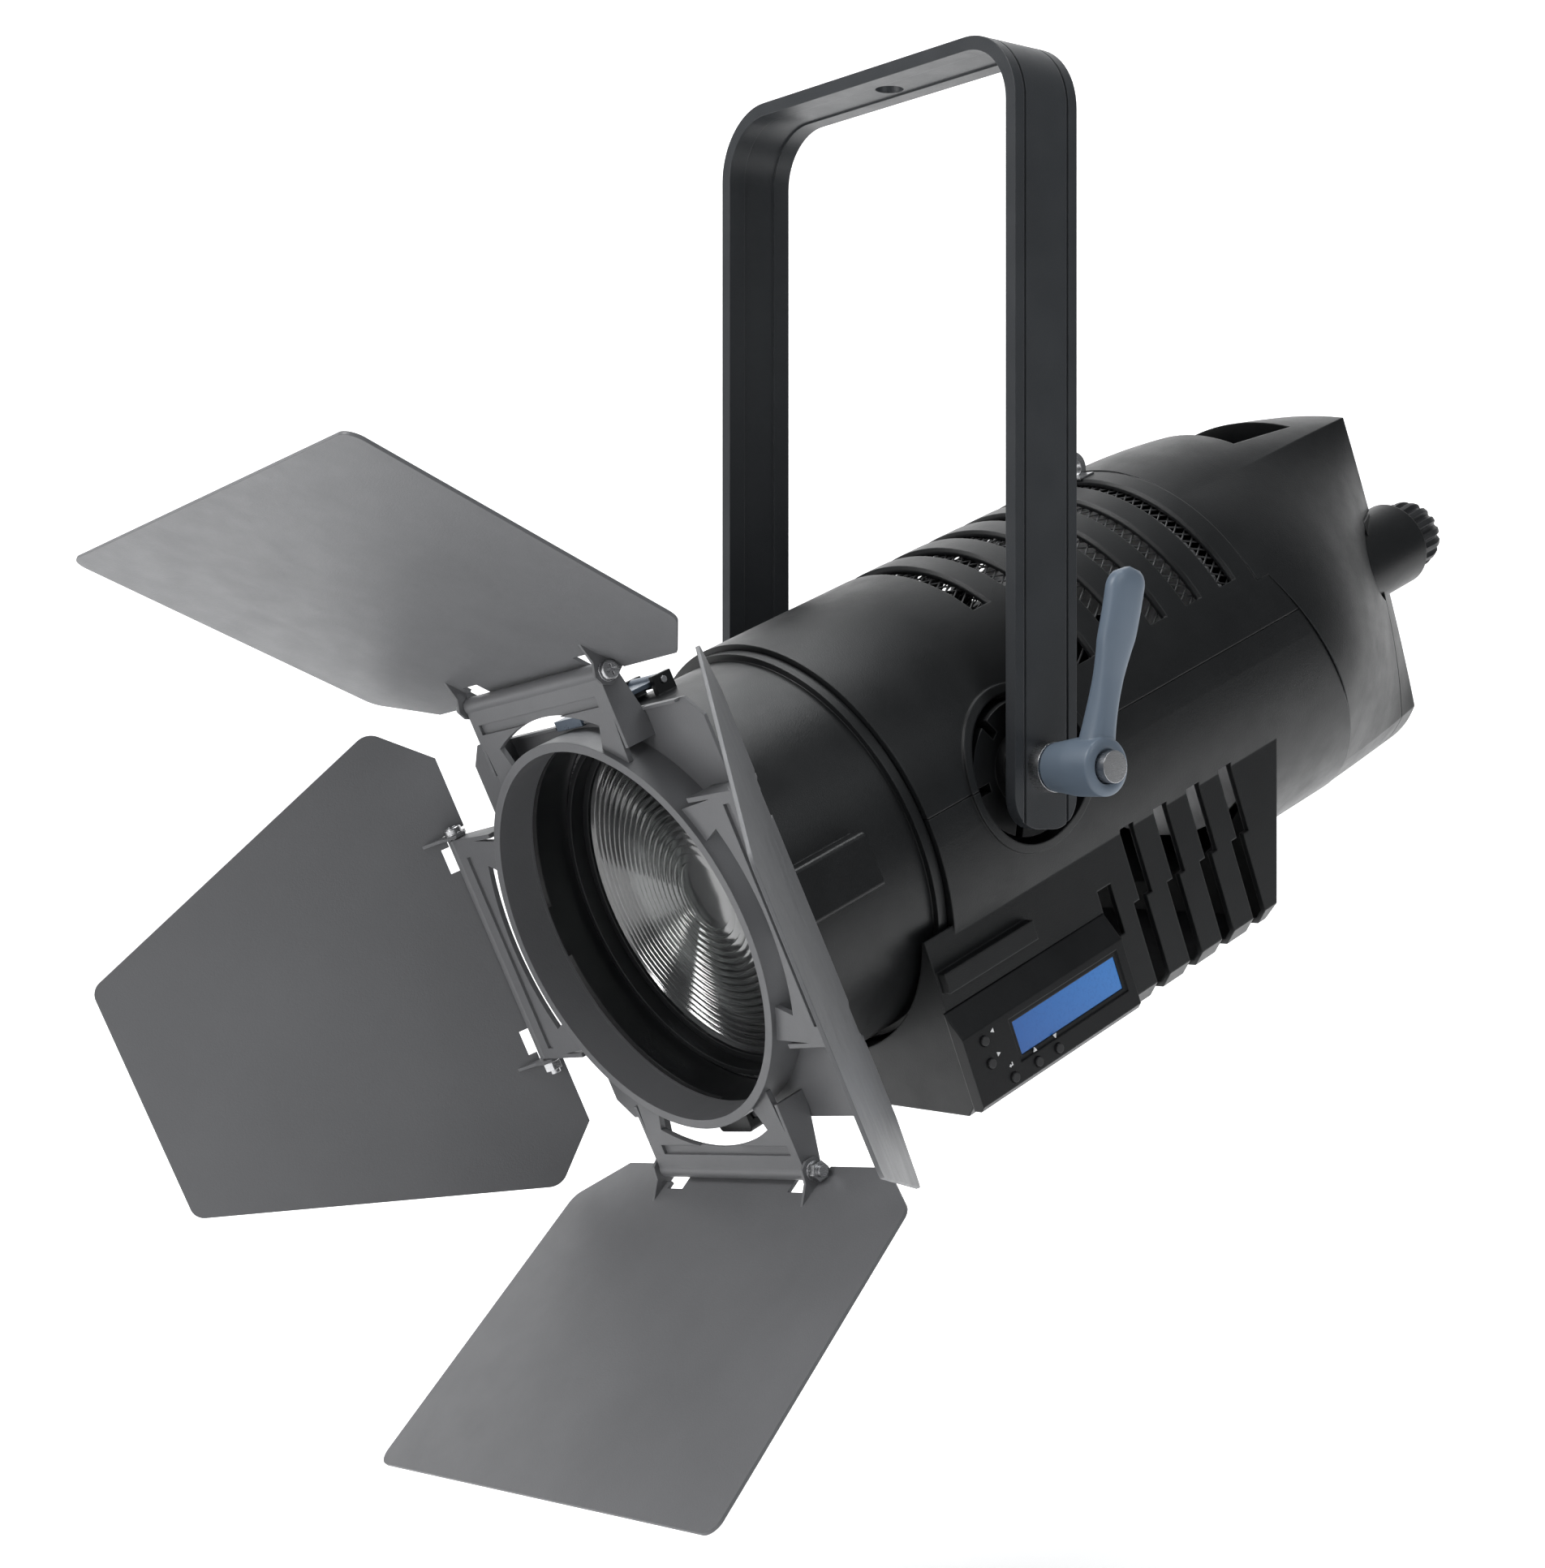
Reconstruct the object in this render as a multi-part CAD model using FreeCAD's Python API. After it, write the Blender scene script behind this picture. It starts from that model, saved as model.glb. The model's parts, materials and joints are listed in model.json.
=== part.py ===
"""LED fresnel spotlight with a hanging yoke and four barn door leaves.

Millimetres. +Z is up, +X is the side with the display and the clamp lever, and the light
shines towards -Y and down. The origin is the centre of the hanging hole, on the outer
face of the yoke's top bar.

The head is drawn level, with the tilt axis on X through the head's own origin, and
head() then tilts it and hangs it below the yoke. The accessory ring, with the barn
doors, is drawn upright about the beam axis, and ring() rolls it before head().
"""
import FreeCAD, Part
import math
import os

V = FreeCAD.Vector
X, Y, Z = V(1, 0, 0), V(0, 1, 0), V(0, 0, 1)

# yoke
PIVOT_DROP = 315.0        # tilt axis below the top face of the yoke
BAR_WIDTH = 36.0
BAR_THICK = 6.0
YOKE_CORNER_R = 32.0
LEG_TAIL = 26.5           # leg below the tilt axis
LEG_END_R = 14.0
HANG_HOLE_R = 6.5
GROOVE_INSET = 5.6        # groove centre lines from the bar's edges
GROOVE_WIDTH = 1.3
GROOVE_DEPTH = 0.8

# head
TILT = 22.8               # nose down
BARREL_R = 95.0
LOWER_DEPTH = 105.0       # the lower half is an ellipse this deep
WALL = 3.0
AXIS_Z = -10.4            # beam axis above the tilt axis
BARREL_FRONT = -63.0
COVER_SEAM = 170.5
SEAM_STEP = 8.0
STEP_Z = 23.0
HALF_SEAM_Z = 2.8
TAIL_END = 290.0
CAP_DEPTH = 18.0
SIDE_GAP = 2.0            # barrel to yoke leg
SEAM_GAP = 0.4

# vents
VENT_COUNT = 6
VENT_FIRST = 31.0
VENT_PITCH = 24.5
VENT_WIDTH = 9.0
VENT_ANGLE = 24.0         # where the long vents end, above the horizontal
SHORT_VENT_ANGLE = 52.0
FIN_COUNT = 5
FIN_FIRST = 25.0
FIN_PITCH = 23.0
FIN_SLOT = 9.0

# base under the barrel
BASE_HALF = 88.0
BASE_FRONT = -80.0
BASE_REAR = 123.0
BASE_LOW = -128.0
BASE_TOP = -46.0

SCREW_HEAD = 1.2
SCREW_SHANK_R = 1.5

# control panel
PANEL_FRONT, PANEL_REAR = -82.0, 20.0
PANEL_LOW, PANEL_KNEE, PANEL_TOP = -124.0, -90.0, -78.0
PANEL_PROUD = 7.0         # beyond the base's side
LCD_FRONT, LCD_REAR, LCD_LOW, LCD_TOP = -53.0, 13.0, -111.0, -95.5
BUTTON_R = 2.2
BUTTON_TRAVEL = 0.8
BUTTONS = {"button_back": (-71.0, -95.5), "button_menu": (-71.0, -106.0),
           "button_enter": (-61.0, -117.5), "button_up": (-46.0, -117.5),
           "button_down": (-33.0, -117.5)}

# tilt joint
PIVOT_R = 4.0
BOSS_R = 33.0
BOSS_PROUD = 1.2
DRUM_R = 30.0
DISC_R = 17.5
RUN_CLEAR = 0.08          # radial clearance of a running fit
HUB_R = 12.5
SPACER_R = 10.75
LEVER_REACH = 84.0
LEVER_LEAN = 10.0
LEVER_PULL = 4.0

# optics and focus drive
LENS_R = 79.0
LENS_FRONT = -119.0
LENS_THICK = 9.0
LENS_TUBE_R = 82.0
ROD_X = 58.0
ROD_R = 4.0
KNOB_X = 42.0
KNOB_R = 18.0
KNOB_LENGTH = 21.0
POD_R = 21.5
POD_PROUD = 16.0          # the knob's pod stands back from the end cap
SCREW_R = 4.0
CARRIAGE_Y = 30.0
CARRIAGE_TRAVEL = 60.0
FAN_HALF = 30.0

# accessory ring and barn doors
RING_ROLL = 6.5
COLLAR_R = 89.5
COLLAR_FRONT = -142.0
PLATE_HALF = 92.5
PLATE_THICK = 1.5
PLATE_SLOT = 2.4
LUG_WIDTH = 24.0
RING_R = 89.6
RING_INNER_R = 85.5
RING_FRONT = -162.6
HINGE_Y = -156.6
HINGE_HALF = 55.0         # half the length of a hinge bracket
SHEET = 1.5
BOLT_R = 2.5
BOLT_HEAD_R = 4.2
BOLT_HEAD = 2.8
NUT_ACROSS = 7.6
NUT_THICK = 3.8
WASHER_R = 4.4            # clear of the leaf's sheet
WASHER_THICK = 0.6
# hinge_r is the hinge line's distance from the beam axis, the rest are half widths and lengths
WIDE_LEAF = dict(hinge_r=112.0, near=97.0, shoulder=126.0, tip=132.0, length=164.0,
                 set_back=14.0)
SIDE_LEAF = dict(hinge_r=115.5, near=92.0, shoulder=115.0, tip=57.0,
                 length=175.0, set_back=18.0)
LEAVES = {"top_leaf": (0, WIDE_LEAF, 43.4), "left_leaf": (90, SIDE_LEAF, 66.1),
          "bottom_leaf": (180, WIDE_LEAF, 66.9), "right_leaf": (270, SIDE_LEAF, 38.3)}

INNER_R = BARREL_R - WALL
LEG_INNER = BARREL_R + SIDE_GAP
LEG_OUTER = LEG_INNER + BAR_THICK
SEAM_SLOPE = math.tan(math.radians(TILT))
CAP_END = TAIL_END + CAP_DEPTH
POD_END = CAP_END + POD_PROUD
BUSH_R = SCREW_R + 5.0
KNOB_BORE = 12.0                  # how far the lead screw goes into the knob
PLATE_Y = COLLAR_FRONT - 2.0      # back face of the barn doors' plate


def box(x0, x1, y0, y1, z0, z1):
    return Part.makeBox(x1 - x0, y1 - y0, z1 - z0, V(x0, y0, z0))


def rod_x(r, x0, x1, y=0.0, z=0.0):
    return Part.makeCylinder(r, x1 - x0, V(x0, y, z), X)


def rod_y(r, y0, y1, x=0.0, z=AXIS_Z):
    return Part.makeCylinder(r, y1 - y0, V(x, y0, z), Y)


def rod_z(r, z0, z1, x=0.0, y=0.0):
    return Part.makeCylinder(r, z1 - z0, V(x, y, z0), Z)


def pipe_y(outer, inner, y0, y1, x=0.0, z=AXIS_Z):
    return rod_y(outer, y0, y1, x, z).cut(rod_y(inner, y0 - 1, y1 + 1, x, z))


def pipe_x(outer, inner, x0, x1, y=0.0, z=0.0):
    return rod_x(outer, x0, x1, y, z).cut(rod_x(inner, x0 - 1, x1 + 1, y, z))


def prism_x(points, x0, x1):
    """A straight-sided outline of (y, z) points, drawn out along X."""
    wire = Part.makePolygon([V(x0, y, z) for y, z in points + points[:1]])
    return Part.Face(wire).extrude(V(x1 - x0, 0, 0))


def prism_y(points, y0, y1):
    """A straight-sided outline of (x, z) points, drawn out along Y."""
    wire = Part.makePolygon([V(x, y0, z) for x, z in points + points[:1]])
    return Part.Face(wire).extrude(V(0, y1 - y0, 0))


def spin(points, low=0.0, sweep=360.0, axis_z=AXIS_Z):
    """An outline of (radius, y) points turned about the beam axis. 0 is +X, 90 is up."""
    wire = Part.makePolygon([V(r, y, axis_z) for r, y in points + points[:1]])
    solid = Part.Face(wire).revolve(V(0, 0, axis_z), V(0, -1, 0), sweep)
    solid.rotate(V(0, 0, axis_z), V(0, -1, 0), low)
    return solid


def join(*shapes):
    whole = shapes[0]
    for shape in shapes[1:]:
        whole = whole.fuse(shape)
    return whole.removeSplitter()


def softened(shape, radius, chosen):
    """Fillet the edges whose middle point passes the test."""
    edges = [e for e in shape.Edges
             if chosen(e.valueAt((e.FirstParameter + e.LastParameter) / 2), e)]
    return shape.makeFillet(radius, edges) if edges else shape


def runs_along(edge, axis):
    a, b = edge.Vertexes[0].Point, edge.Vertexes[-1].Point
    return (b - a).Length > 0.01 and abs((b - a).normalize().dot(axis)) > 0.999


def head(shape):
    """From the level head to its place: nose down, hung below the yoke's top."""
    placed = shape.copy()
    placed.rotate(V(0, 0, 0), X, TILT)
    placed.translate(V(0, 0, -PIVOT_DROP))
    return placed


def ring(shape):
    """From the upright accessory ring to its place on the head."""
    placed = shape.copy()
    placed.rotate(V(0, 0, AXIS_Z), Y, -RING_ROLL)
    return head(placed)


def side(shape, angle):
    """Turn a piece drawn at the top of the ring to another side of it."""
    turned = shape.copy()
    turned.rotate(V(0, 0, AXIS_Z), Y, -angle)
    return turned


# ---------------------------------------------------------------- yoke and clamp

def yoke_outline(inset):
    """The yoke's outer outline in the XZ plane, moved in by a distance, as a face."""
    half, top, low = LEG_OUTER - inset, -inset, -PIVOT_DROP - LEG_TAIL
    r = YOKE_CORNER_R - inset
    bend = r * math.sqrt(0.5)
    y = -BAR_WIDTH / 2
    left, right = -half, half
    edges = [
        Part.LineSegment(V(left, y, low), V(left, y, top - r)),
        Part.Arc(V(left, y, top - r), V(left + r - bend, y, top - r + bend), V(left + r, y, top)),
        Part.LineSegment(V(left + r, y, top), V(right - r, y, top)),
        Part.Arc(V(right - r, y, top), V(right - r + bend, y, top - r + bend),
                 V(right, y, top - r)),
        Part.LineSegment(V(right, y, top - r), V(right, y, low)),
        Part.LineSegment(V(right, y, low), V(left, y, low))]
    return Part.Face(Part.Wire([e.toShape() for e in edges]))


def yoke_band(outer_inset, inner_inset, y0, y1):
    """The part of the bent bar between two insets and two places across its width."""
    outer = yoke_outline(outer_inset).extrude(V(0, y1 - y0, 0))
    inner = yoke_outline(inner_inset).extrude(V(0, y1 - y0 + 2, 0))
    outer.translate(V(0, y0 + BAR_WIDTH / 2, 0))
    inner.translate(V(0, y0 + BAR_WIDTH / 2 - 1, -0.01))
    return outer.cut(inner)


def yoke_frame():
    half = BAR_WIDTH / 2
    bar = yoke_band(0, BAR_THICK, -half, half)
    low = -PIVOT_DROP - LEG_TAIL
    bar = softened(bar, LEG_END_R,
                   lambda m, e: abs(m.z - low) < 0.1 and abs(abs(m.y) - half) < 0.1
                   and runs_along(e, X))
    groove = half - GROOVE_INSET
    for across in (-groove, groove):
        bar = bar.cut(yoke_band(-1, GROOVE_DEPTH, across - GROOVE_WIDTH / 2,
                                across + GROOVE_WIDTH / 2))
    bar = bar.cut(yoke_band(BAR_THICK - GROOVE_DEPTH, BAR_THICK + 1, -half / 2, half / 2))
    bar = bar.cut(rod_z(HANG_HOLE_R, -BAR_THICK - 1, 1))
    return bar.cut(rod_x(PIVOT_R + RUN_CLEAR, -LEG_OUTER - 1, LEG_OUTER + 1, 0, -PIVOT_DROP))


def far_pivot_bolt():
    shank = rod_x(PIVOT_R, -LEG_OUTER, -BARREL_R + 26)
    cap = rod_x(9, -LEG_OUTER - 7, -LEG_OUTER)
    socket = Part.makeBox(4, 5, 5, V(-LEG_OUTER - 8, -2.5, -2.5))
    return join(cap, shank).cut(socket)


def pivot_washers():
    """A thin friction washer on the inner face of each leg."""
    near = pipe_x(DISC_R - 2, PIVOT_R + 0.3, LEG_INNER - 1.2, LEG_INNER)
    far = pipe_x(DISC_R - 2, PIVOT_R + 0.3, -LEG_INNER, -LEG_INNER + 1.2)
    return Part.makeCompound([near, far])


SPACER_END = LEG_OUTER + 6.0
HUB_END = SPACER_END + 31.0


def clamp_spacer():
    return pipe_x(SPACER_R, PIVOT_R + RUN_CLEAR, LEG_OUTER, SPACER_END)


def clamp_stud():
    """The threaded stud with the splined boss that the lever sits on."""
    stud = rod_x(PIVOT_R, BARREL_R - 26, HUB_END - 12)
    boss = rod_x(7.5, SPACER_END, SPACER_END + 14)
    return join(stud, boss)


def clamp_cap():
    """The cap screw that keeps the lever on its boss."""
    shank = rod_x(5.0, HUB_END - 12, HUB_END - 2)
    return join(shank, rod_x(6.8, HUB_END - 2, HUB_END + 4))


def clamp_lever():
    hub = rod_x(HUB_R, SPACER_END + 0.3, HUB_END)
    hub = softened(hub, 2.0, lambda m, e: m.x > HUB_END - 0.1)
    sections = []
    for up, lean, half_x, half_y, mid_x in ((0, 0, 9, 9.5, HUB_END - 12),
                                            (0.45, 0.55, 6, 6.5, HUB_END - 6),
                                            (1, 1, 5, 7.6, HUB_END + 1)):
        z, y = up * (LEVER_REACH - 8), lean * LEVER_LEAN
        corner = min(half_x, half_y) * 0.7
        wire = Part.makePolygon([V(mid_x + i, y + j, z) for i, j in (
            (-half_x, -half_y + corner), (-half_x + corner, -half_y),
            (half_x - corner, -half_y), (half_x, -half_y + corner),
            (half_x, half_y - corner), (half_x - corner, half_y),
            (-half_x + corner, half_y), (-half_x, half_y - corner),
            (-half_x, -half_y + corner))])
        sections.append(wire)
    arm = Part.makeLoft(sections, True, False)
    tip = rod_x(7.6, HUB_END - 4, HUB_END + 6, LEVER_LEAN, LEVER_REACH - 8)
    whole = join(hub, arm, softened(tip, 2.5, lambda m, e: True))
    bore = rod_x(7.5 + RUN_CLEAR, SPACER_END - 1, SPACER_END + 18)
    slide = rod_x(5.0 + RUN_CLEAR, SPACER_END, HUB_END + 8)
    seat = rod_x(6.8 + RUN_CLEAR, HUB_END - 4 - LEVER_PULL, HUB_END + 20)
    return whole.cut(join(bore, slide, seat))


# ---------------------------------------------------------------- head casings

def rear_region(shift):
    """Everything behind the stepped, slanting seam of the rear cover, moved back by shift."""
    y, far = COVER_SEAM + shift, TAIL_END + 400
    reach = 300.0
    return prism_x([(y, reach), (y, STEP_Z), (y + SEAM_STEP, STEP_Z),
                    (y + SEAM_STEP + (STEP_Z + reach) * SEAM_SLOPE, -reach),
                    (far, -reach), (far, reach)], -300, 300)


def lower_bulge(y0, y1, grow):
    """The half ellipse under the beam axis."""
    ellipse = Part.Ellipse(V(0, y0, AXIS_Z), LOWER_DEPTH + grow, BARREL_R + grow)
    ellipse.Axis = V(0, -1, 0)
    ellipse.XAxis = V(0, 0, -1)
    whole = Part.Face(Part.Wire([ellipse.toShape()])).extrude(V(0, y1 - y0, 0))
    return whole.common(box(-300, 300, y0 - 1, y1 + 1, -400, AXIS_Z))


def barrel(y0, y1, grow=0.0):
    upper = rod_y(BARREL_R + grow, y0, y1).common(box(-300, 300, y0 - 1, y1 + 1, AXIS_Z, 300))
    return join(upper, lower_bulge(y0, y1, grow))


NOSE_GAP = 4.0            # between the turning collar and the base


def nose_space(extra, depth):
    return rod_y(COLLAR_R + extra, -200, BARREL_FRONT + depth)


def base_screw_places():
    """Where the screws come up through the base, as (x, y)."""
    return [(sign * (BASE_HALF - 26), BASE_FRONT + share * (BASE_REAR - BASE_FRONT))
            for sign in (1, -1) for share in (0.08, 0.5, 0.92)]


def base_block(inset):
    """The box under the barrel that holds the electronics, with a slanting rear face."""
    low, front, half = BASE_LOW + inset, BASE_FRONT + inset, BASE_HALF - inset
    rear = BASE_REAR - inset
    block = prism_x([(front, low), (rear, low), (rear + (BASE_TOP - low) * SEAM_SLOPE, BASE_TOP),
                     (front, BASE_TOP)], -half, half)
    chamfer = 7.0 - inset
    low_edges = [e for e in block.Edges
                 if runs_along(e, Y) and abs(e.Vertexes[0].Z - low) < 0.01]
    block = block.makeChamfer(chamfer, low_edges)
    return block.cut(nose_space(NOSE_GAP + inset, inset))


def casing():
    """Both halves of the barrel and the base in one: outside less inside."""
    rear = TAIL_END
    outside = join(barrel(BARREL_FRONT, rear), base_block(0))
    inside = join(barrel(BARREL_FRONT + WALL, rear + 1, -WALL), base_block(WALL))
    bore = rod_y(LENS_TUBE_R + 0.3, BARREL_FRONT - 1, BARREL_FRONT + WALL + 1)
    shell = outside.cut(inside).cut(bore)
    for sign in (1, -1):
        x0, x1 = sorted((sign * (BARREL_R - 22), sign * (BARREL_R + 6)))
        rim = pipe_x(BOSS_R + 4, BOSS_R, x0, x1).common(rod_y(BARREL_R + BOSS_PROUD, -60, 60))
        cup_low, cup_high = sorted((sign * (BARREL_R - 22), sign * (BARREL_R - 19)))
        floor = pipe_x(BOSS_R + 4, PIVOT_R + 0.6, cup_low, cup_high)
        pocket = rod_x(BOSS_R, *sorted((sign * (BARREL_R - 19), sign * (BARREL_R + 30))))
        shell = shell.cut(pocket).fuse(rim).fuse(floor)
    return shell.cut(rear_region(0))


def vent_cutters():
    """Slots over the top, wider at the outside. The first is short and near the front."""
    cutters = []
    deep = INNER_R - 4
    for i in range(VENT_COUNT):
        mid = VENT_FIRST + i * VENT_PITCH
        end = SHORT_VENT_ANGLE if i == 0 else VENT_ANGLE
        half, flare = VENT_WIDTH / 2, VENT_WIDTH / 2 + 2.0
        cutters.append(spin([(deep, mid - half), (BARREL_R - 1.5, mid - half),
                             (BARREL_R + 1, mid - flare), (BARREL_R + 1, mid + flare),
                             (BARREL_R - 1.5, mid + half), (deep, mid + half)],
                            end, 180 - 2 * end))
    return cutters


def upper_housing(shell):
    """The top half with its vents, made of bands that meet on the ribs between the vents."""
    half = shell.common(box(-300, 300, -300, 400, HALF_SEAM_Z, 300)).cut(vent_cutters())
    places = [BARREL_FRONT - 10]
    places += [VENT_FIRST + (i + 0.5) * VENT_PITCH for i in range(VENT_COUNT - 1)]
    places += [TAIL_END]
    bands = [half.common(box(-300, 300, y0, y1, 0, 300)) for y0, y1 in zip(places, places[1:])]
    return bands[0].multiFuse(bands[1:])


def fin_cutters():
    """Slots down both sides of the base and out through its lower edge, with a step."""
    cutters = []
    for i in range(FIN_COUNT):
        mid = FIN_FIRST + i * FIN_PITCH
        top = BASE_TOP - 2 - (20 if i == 0 else 0)
        y0, y1 = mid - FIN_SLOT / 2, mid + FIN_SLOT / 2
        step = (top + BASE_LOW) / 2 + 6
        for sign in (1, -1):
            for x0, x1, z0, z1, back in ((BASE_HALF - 12, BASE_HALF + 8, step, top, 0),
                                         (BASE_HALF - 12, BASE_HALF + 8, BASE_LOW - 5, step, 4)):
                low, high = sorted((sign * x0, sign * x1))
                cutters.append(box(low, high, y0 - back, y1 - back, z0, z1))
    return cutters


def lower_housing(shell):
    half = shell.common(box(-300, 300, -300, 400, -400, HALF_SEAM_Z - SEAM_GAP))
    for cutter in fin_cutters():
        half = half.cut(cutter)
    ledge = box(BASE_HALF - 3, BASE_HALF + 5, PANEL_FRONT + 3, PANEL_FRONT + 58, PANEL_TOP + 8,
                PANEL_TOP + 17)
    window = box(BASE_HALF - WALL - 1, BASE_HALF + 1, PANEL_FRONT + 8, PANEL_REAR - 3,
                 PANEL_LOW + 6, PANEL_KNEE + 3)
    whole = half.fuse(ledge.cut(nose_space(NOSE_GAP, 0))).cut(window).cut(base_block(WALL))
    for x, y in base_screw_places():
        whole = whole.cut(rod_z(SCREW_SHANK_R + 0.1, BASE_LOW - 1, BASE_LOW + WALL + 1, x, y))
    return whole


def tail_section(y, crease, roof, bulge, corner, keel, inset=0.0):
    """A closed section of the tail: roof arc, side arcs and keel arc."""
    cx, cz = crease[0] - inset, crease[1] - inset
    bx, bz = corner[0] - inset * 0.7, corner[1] + inset * 0.7
    arcs = [Part.Arc(V(-cx, y, cz), V(0, y, roof - inset), V(cx, y, cz)),
            Part.Arc(V(cx, y, cz), V(bulge - inset, y, AXIS_Z), V(bx, y, bz)),
            Part.Arc(V(bx, y, bz), V(0, y, keel + inset), V(-bx, y, bz)),
            Part.Arc(V(-bx, y, bz), V(-bulge + inset, y, AXIS_Z), V(-cx, y, cz))]
    return Part.Wire([a.toShape() for a in arcs])


def barrel_point(angle, depth):
    a = math.radians(angle)
    return BARREL_R * math.cos(a), AXIS_Z + depth * math.sin(a)


def tail(inset=0.0):
    crease = barrel_point(55, BARREL_R)
    corner = barrel_point(-50, LOWER_DEPTH)
    keel = AXIS_Z - LOWER_DEPTH
    first = COVER_SEAM - 8
    length = TAIL_END + 20 - first
    stations = ((0.0, 1.0, 0, 1.0, 0), (0.33, 0.96, 2.5, 0.98, 0.5),
                (0.62, 0.91, 3.5, 0.82, 6), (1.0, 0.85, 5, 0.48, 18))
    wires = []
    for along, crease_share, drop, bulge_share, roof_drop in stations:
        y = first + along * length
        # the corner follows the bulge so that the sides stay smooth
        pull = 0.45 + 0.55 * bulge_share
        wires.append(tail_section(
            y, (crease[0] * crease_share, crease[1] - drop),
            AXIS_Z + BARREL_R - roof_drop,
            BARREL_R * bulge_share, (corner[0] * pull, corner[1] - 2 * along), keel, inset))
    return Part.makeLoft(wires, True, False)


CAP_TOP = 12.0
GRIP_FRONT = TAIL_END - 10
GRIP_LOW = 44.0
GRIP_HALF = 36.0
WELL_LENGTH = 40.0        # room for the fingers in front of the grip


def grip_well(grow):
    """The hollow that the fingers go into, as (y, z) points, before the grip is left in it."""
    front, floor = GRIP_FRONT - WELL_LENGTH - grow, CAP_TOP + 8 - grow
    return [(front - 6, 120), (front, 40 - grow), (front + 18, floor + 2),
            (CAP_END + 60, floor), (CAP_END + 60, 120)]


def rear_cover():
    body = tail().common(rear_region(SEAM_GAP))
    hollow = tail(WALL).cut(prism_x(grip_well(WALL), -300, 300))
    # behind the cap's joint only the two cheeks and the grip go on
    body = body.cut(hollow).cut(box(-300, 300, TAIL_END, CAP_END + 50, -300, CAP_TOP + 1))
    body = body.cut(box(-300, 300, CAP_END, CAP_END + 60, -300, 300))
    grip = box(-300, 300, GRIP_FRONT, CAP_END + 100, GRIP_LOW, 200)
    grip = softened(grip, 5.0, lambda m, e: runs_along(e, X) and m.y < GRIP_FRONT + 1)
    body = body.cut(prism_x(grip_well(0), -GRIP_HALF, GRIP_HALF).cut(grip))
    scoop = rod_y(POD_R + 3.5, TAIL_END - 18, TAIL_END + 1, KNOB_X)
    return body.cut(scoop)


def end_cap():
    region = box(-300, 300, TAIL_END + SEAM_GAP, CAP_END, -300, CAP_TOP)
    body = tail().common(region)
    body = softened(body, 3.0, lambda m, e: m.y > CAP_END - 0.1 and m.z < CAP_TOP - 1)
    hollow = tail(WALL).common(box(-300, 300, TAIL_END, CAP_END - WALL, -300, CAP_TOP - WALL))
    pod = rod_y(POD_R, TAIL_END - 14, POD_END, KNOB_X)
    pod_inner = rod_y(POD_R - WALL, TAIL_END - 10, POD_END - WALL, KNOB_X)
    body = join(body.cut(hollow), pod).cut(pod_inner)
    body = body.cut(rod_y(BUSH_R, TAIL_END - 20, POD_END + 5, KNOB_X))
    for x, z, r, _ in SOCKETS:
        body = body.cut(rod_y(r + 0.2, CAP_END - 8, CAP_END + 5, x, z))
    return body


# ---------------------------------------------------------------- fixed pieces in the head

SOCKET_DEPTH = 14.0
SOCKETS = ((-20.0, -46.0, 13.0, "power_inlet"), (-20.0, -80.0, 13.0, "power_outlet"),
           (12.0, -46.0, 11.0, "data_socket"), (12.0, -80.0, 11.0, "data_socket"))


def socket_body(x, z, r):
    """A round panel socket with a flange outside and contacts at the foot of its recess."""
    flange = box(x - r - 2, x + r + 2, CAP_END, CAP_END + 2, z - r - 2, z + r + 2)
    flange = softened(flange, 3.0, lambda m, e: runs_along(e, Y))
    barrel_part = rod_y(r, CAP_END - 22, CAP_END + 2, x, z)
    recess = rod_y(r - 2.5, CAP_END - SOCKET_DEPTH, CAP_END + 3, x, z)
    whole = join(flange, barrel_part).cut(recess)
    for i in range(3):
        a = 2 * math.pi * i / 3 + math.pi / 2
        whole = whole.fuse(rod_y(1.2, CAP_END - SOCKET_DEPTH - 1, CAP_END - SOCKET_DEPTH + 4,
                                 x + r * 0.4 * math.cos(a), z + r * 0.4 * math.sin(a)))
    return whole


def vent_mesh():
    low = VENT_FIRST - VENT_WIDTH
    high = COVER_SEAM - 8
    mesh = spin([(INNER_R - 1.4, low), (INNER_R - 0.4, low), (INNER_R - 0.4, high),
                 (INNER_R - 1.4, high)], VENT_ANGLE - 10, 200 - 2 * VENT_ANGLE)
    return mesh.cut(rod_x(BOSS_R + 5, -200, 200))


def pivot_drums():
    """The castellated drum in each boss, with the raised pad that meets the leg's washer."""
    drums = []
    for sign in (1, -1):
        drum = rod_x(DRUM_R, BARREL_R - 19, BARREL_R - 5)
        for i in range(6):
            notch = box(BARREL_R - 14, BARREL_R, -2, 2, DRUM_R - 8, DRUM_R + 2)
            notch.rotate(V(0, 0, 0), X, 30 + 60 * i)
            drum = drum.cut(notch)
        drum = join(drum, rod_x(DISC_R, BARREL_R - 5, LEG_INNER - 1.4))
        drum = drum.cut(rod_x(PIVOT_R + RUN_CLEAR, 0, 200))
        if sign < 0:
            drum = drum.mirror(V(0, 0, 0), X)
        drums.append(drum)
    return Part.makeCompound(drums)


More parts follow.
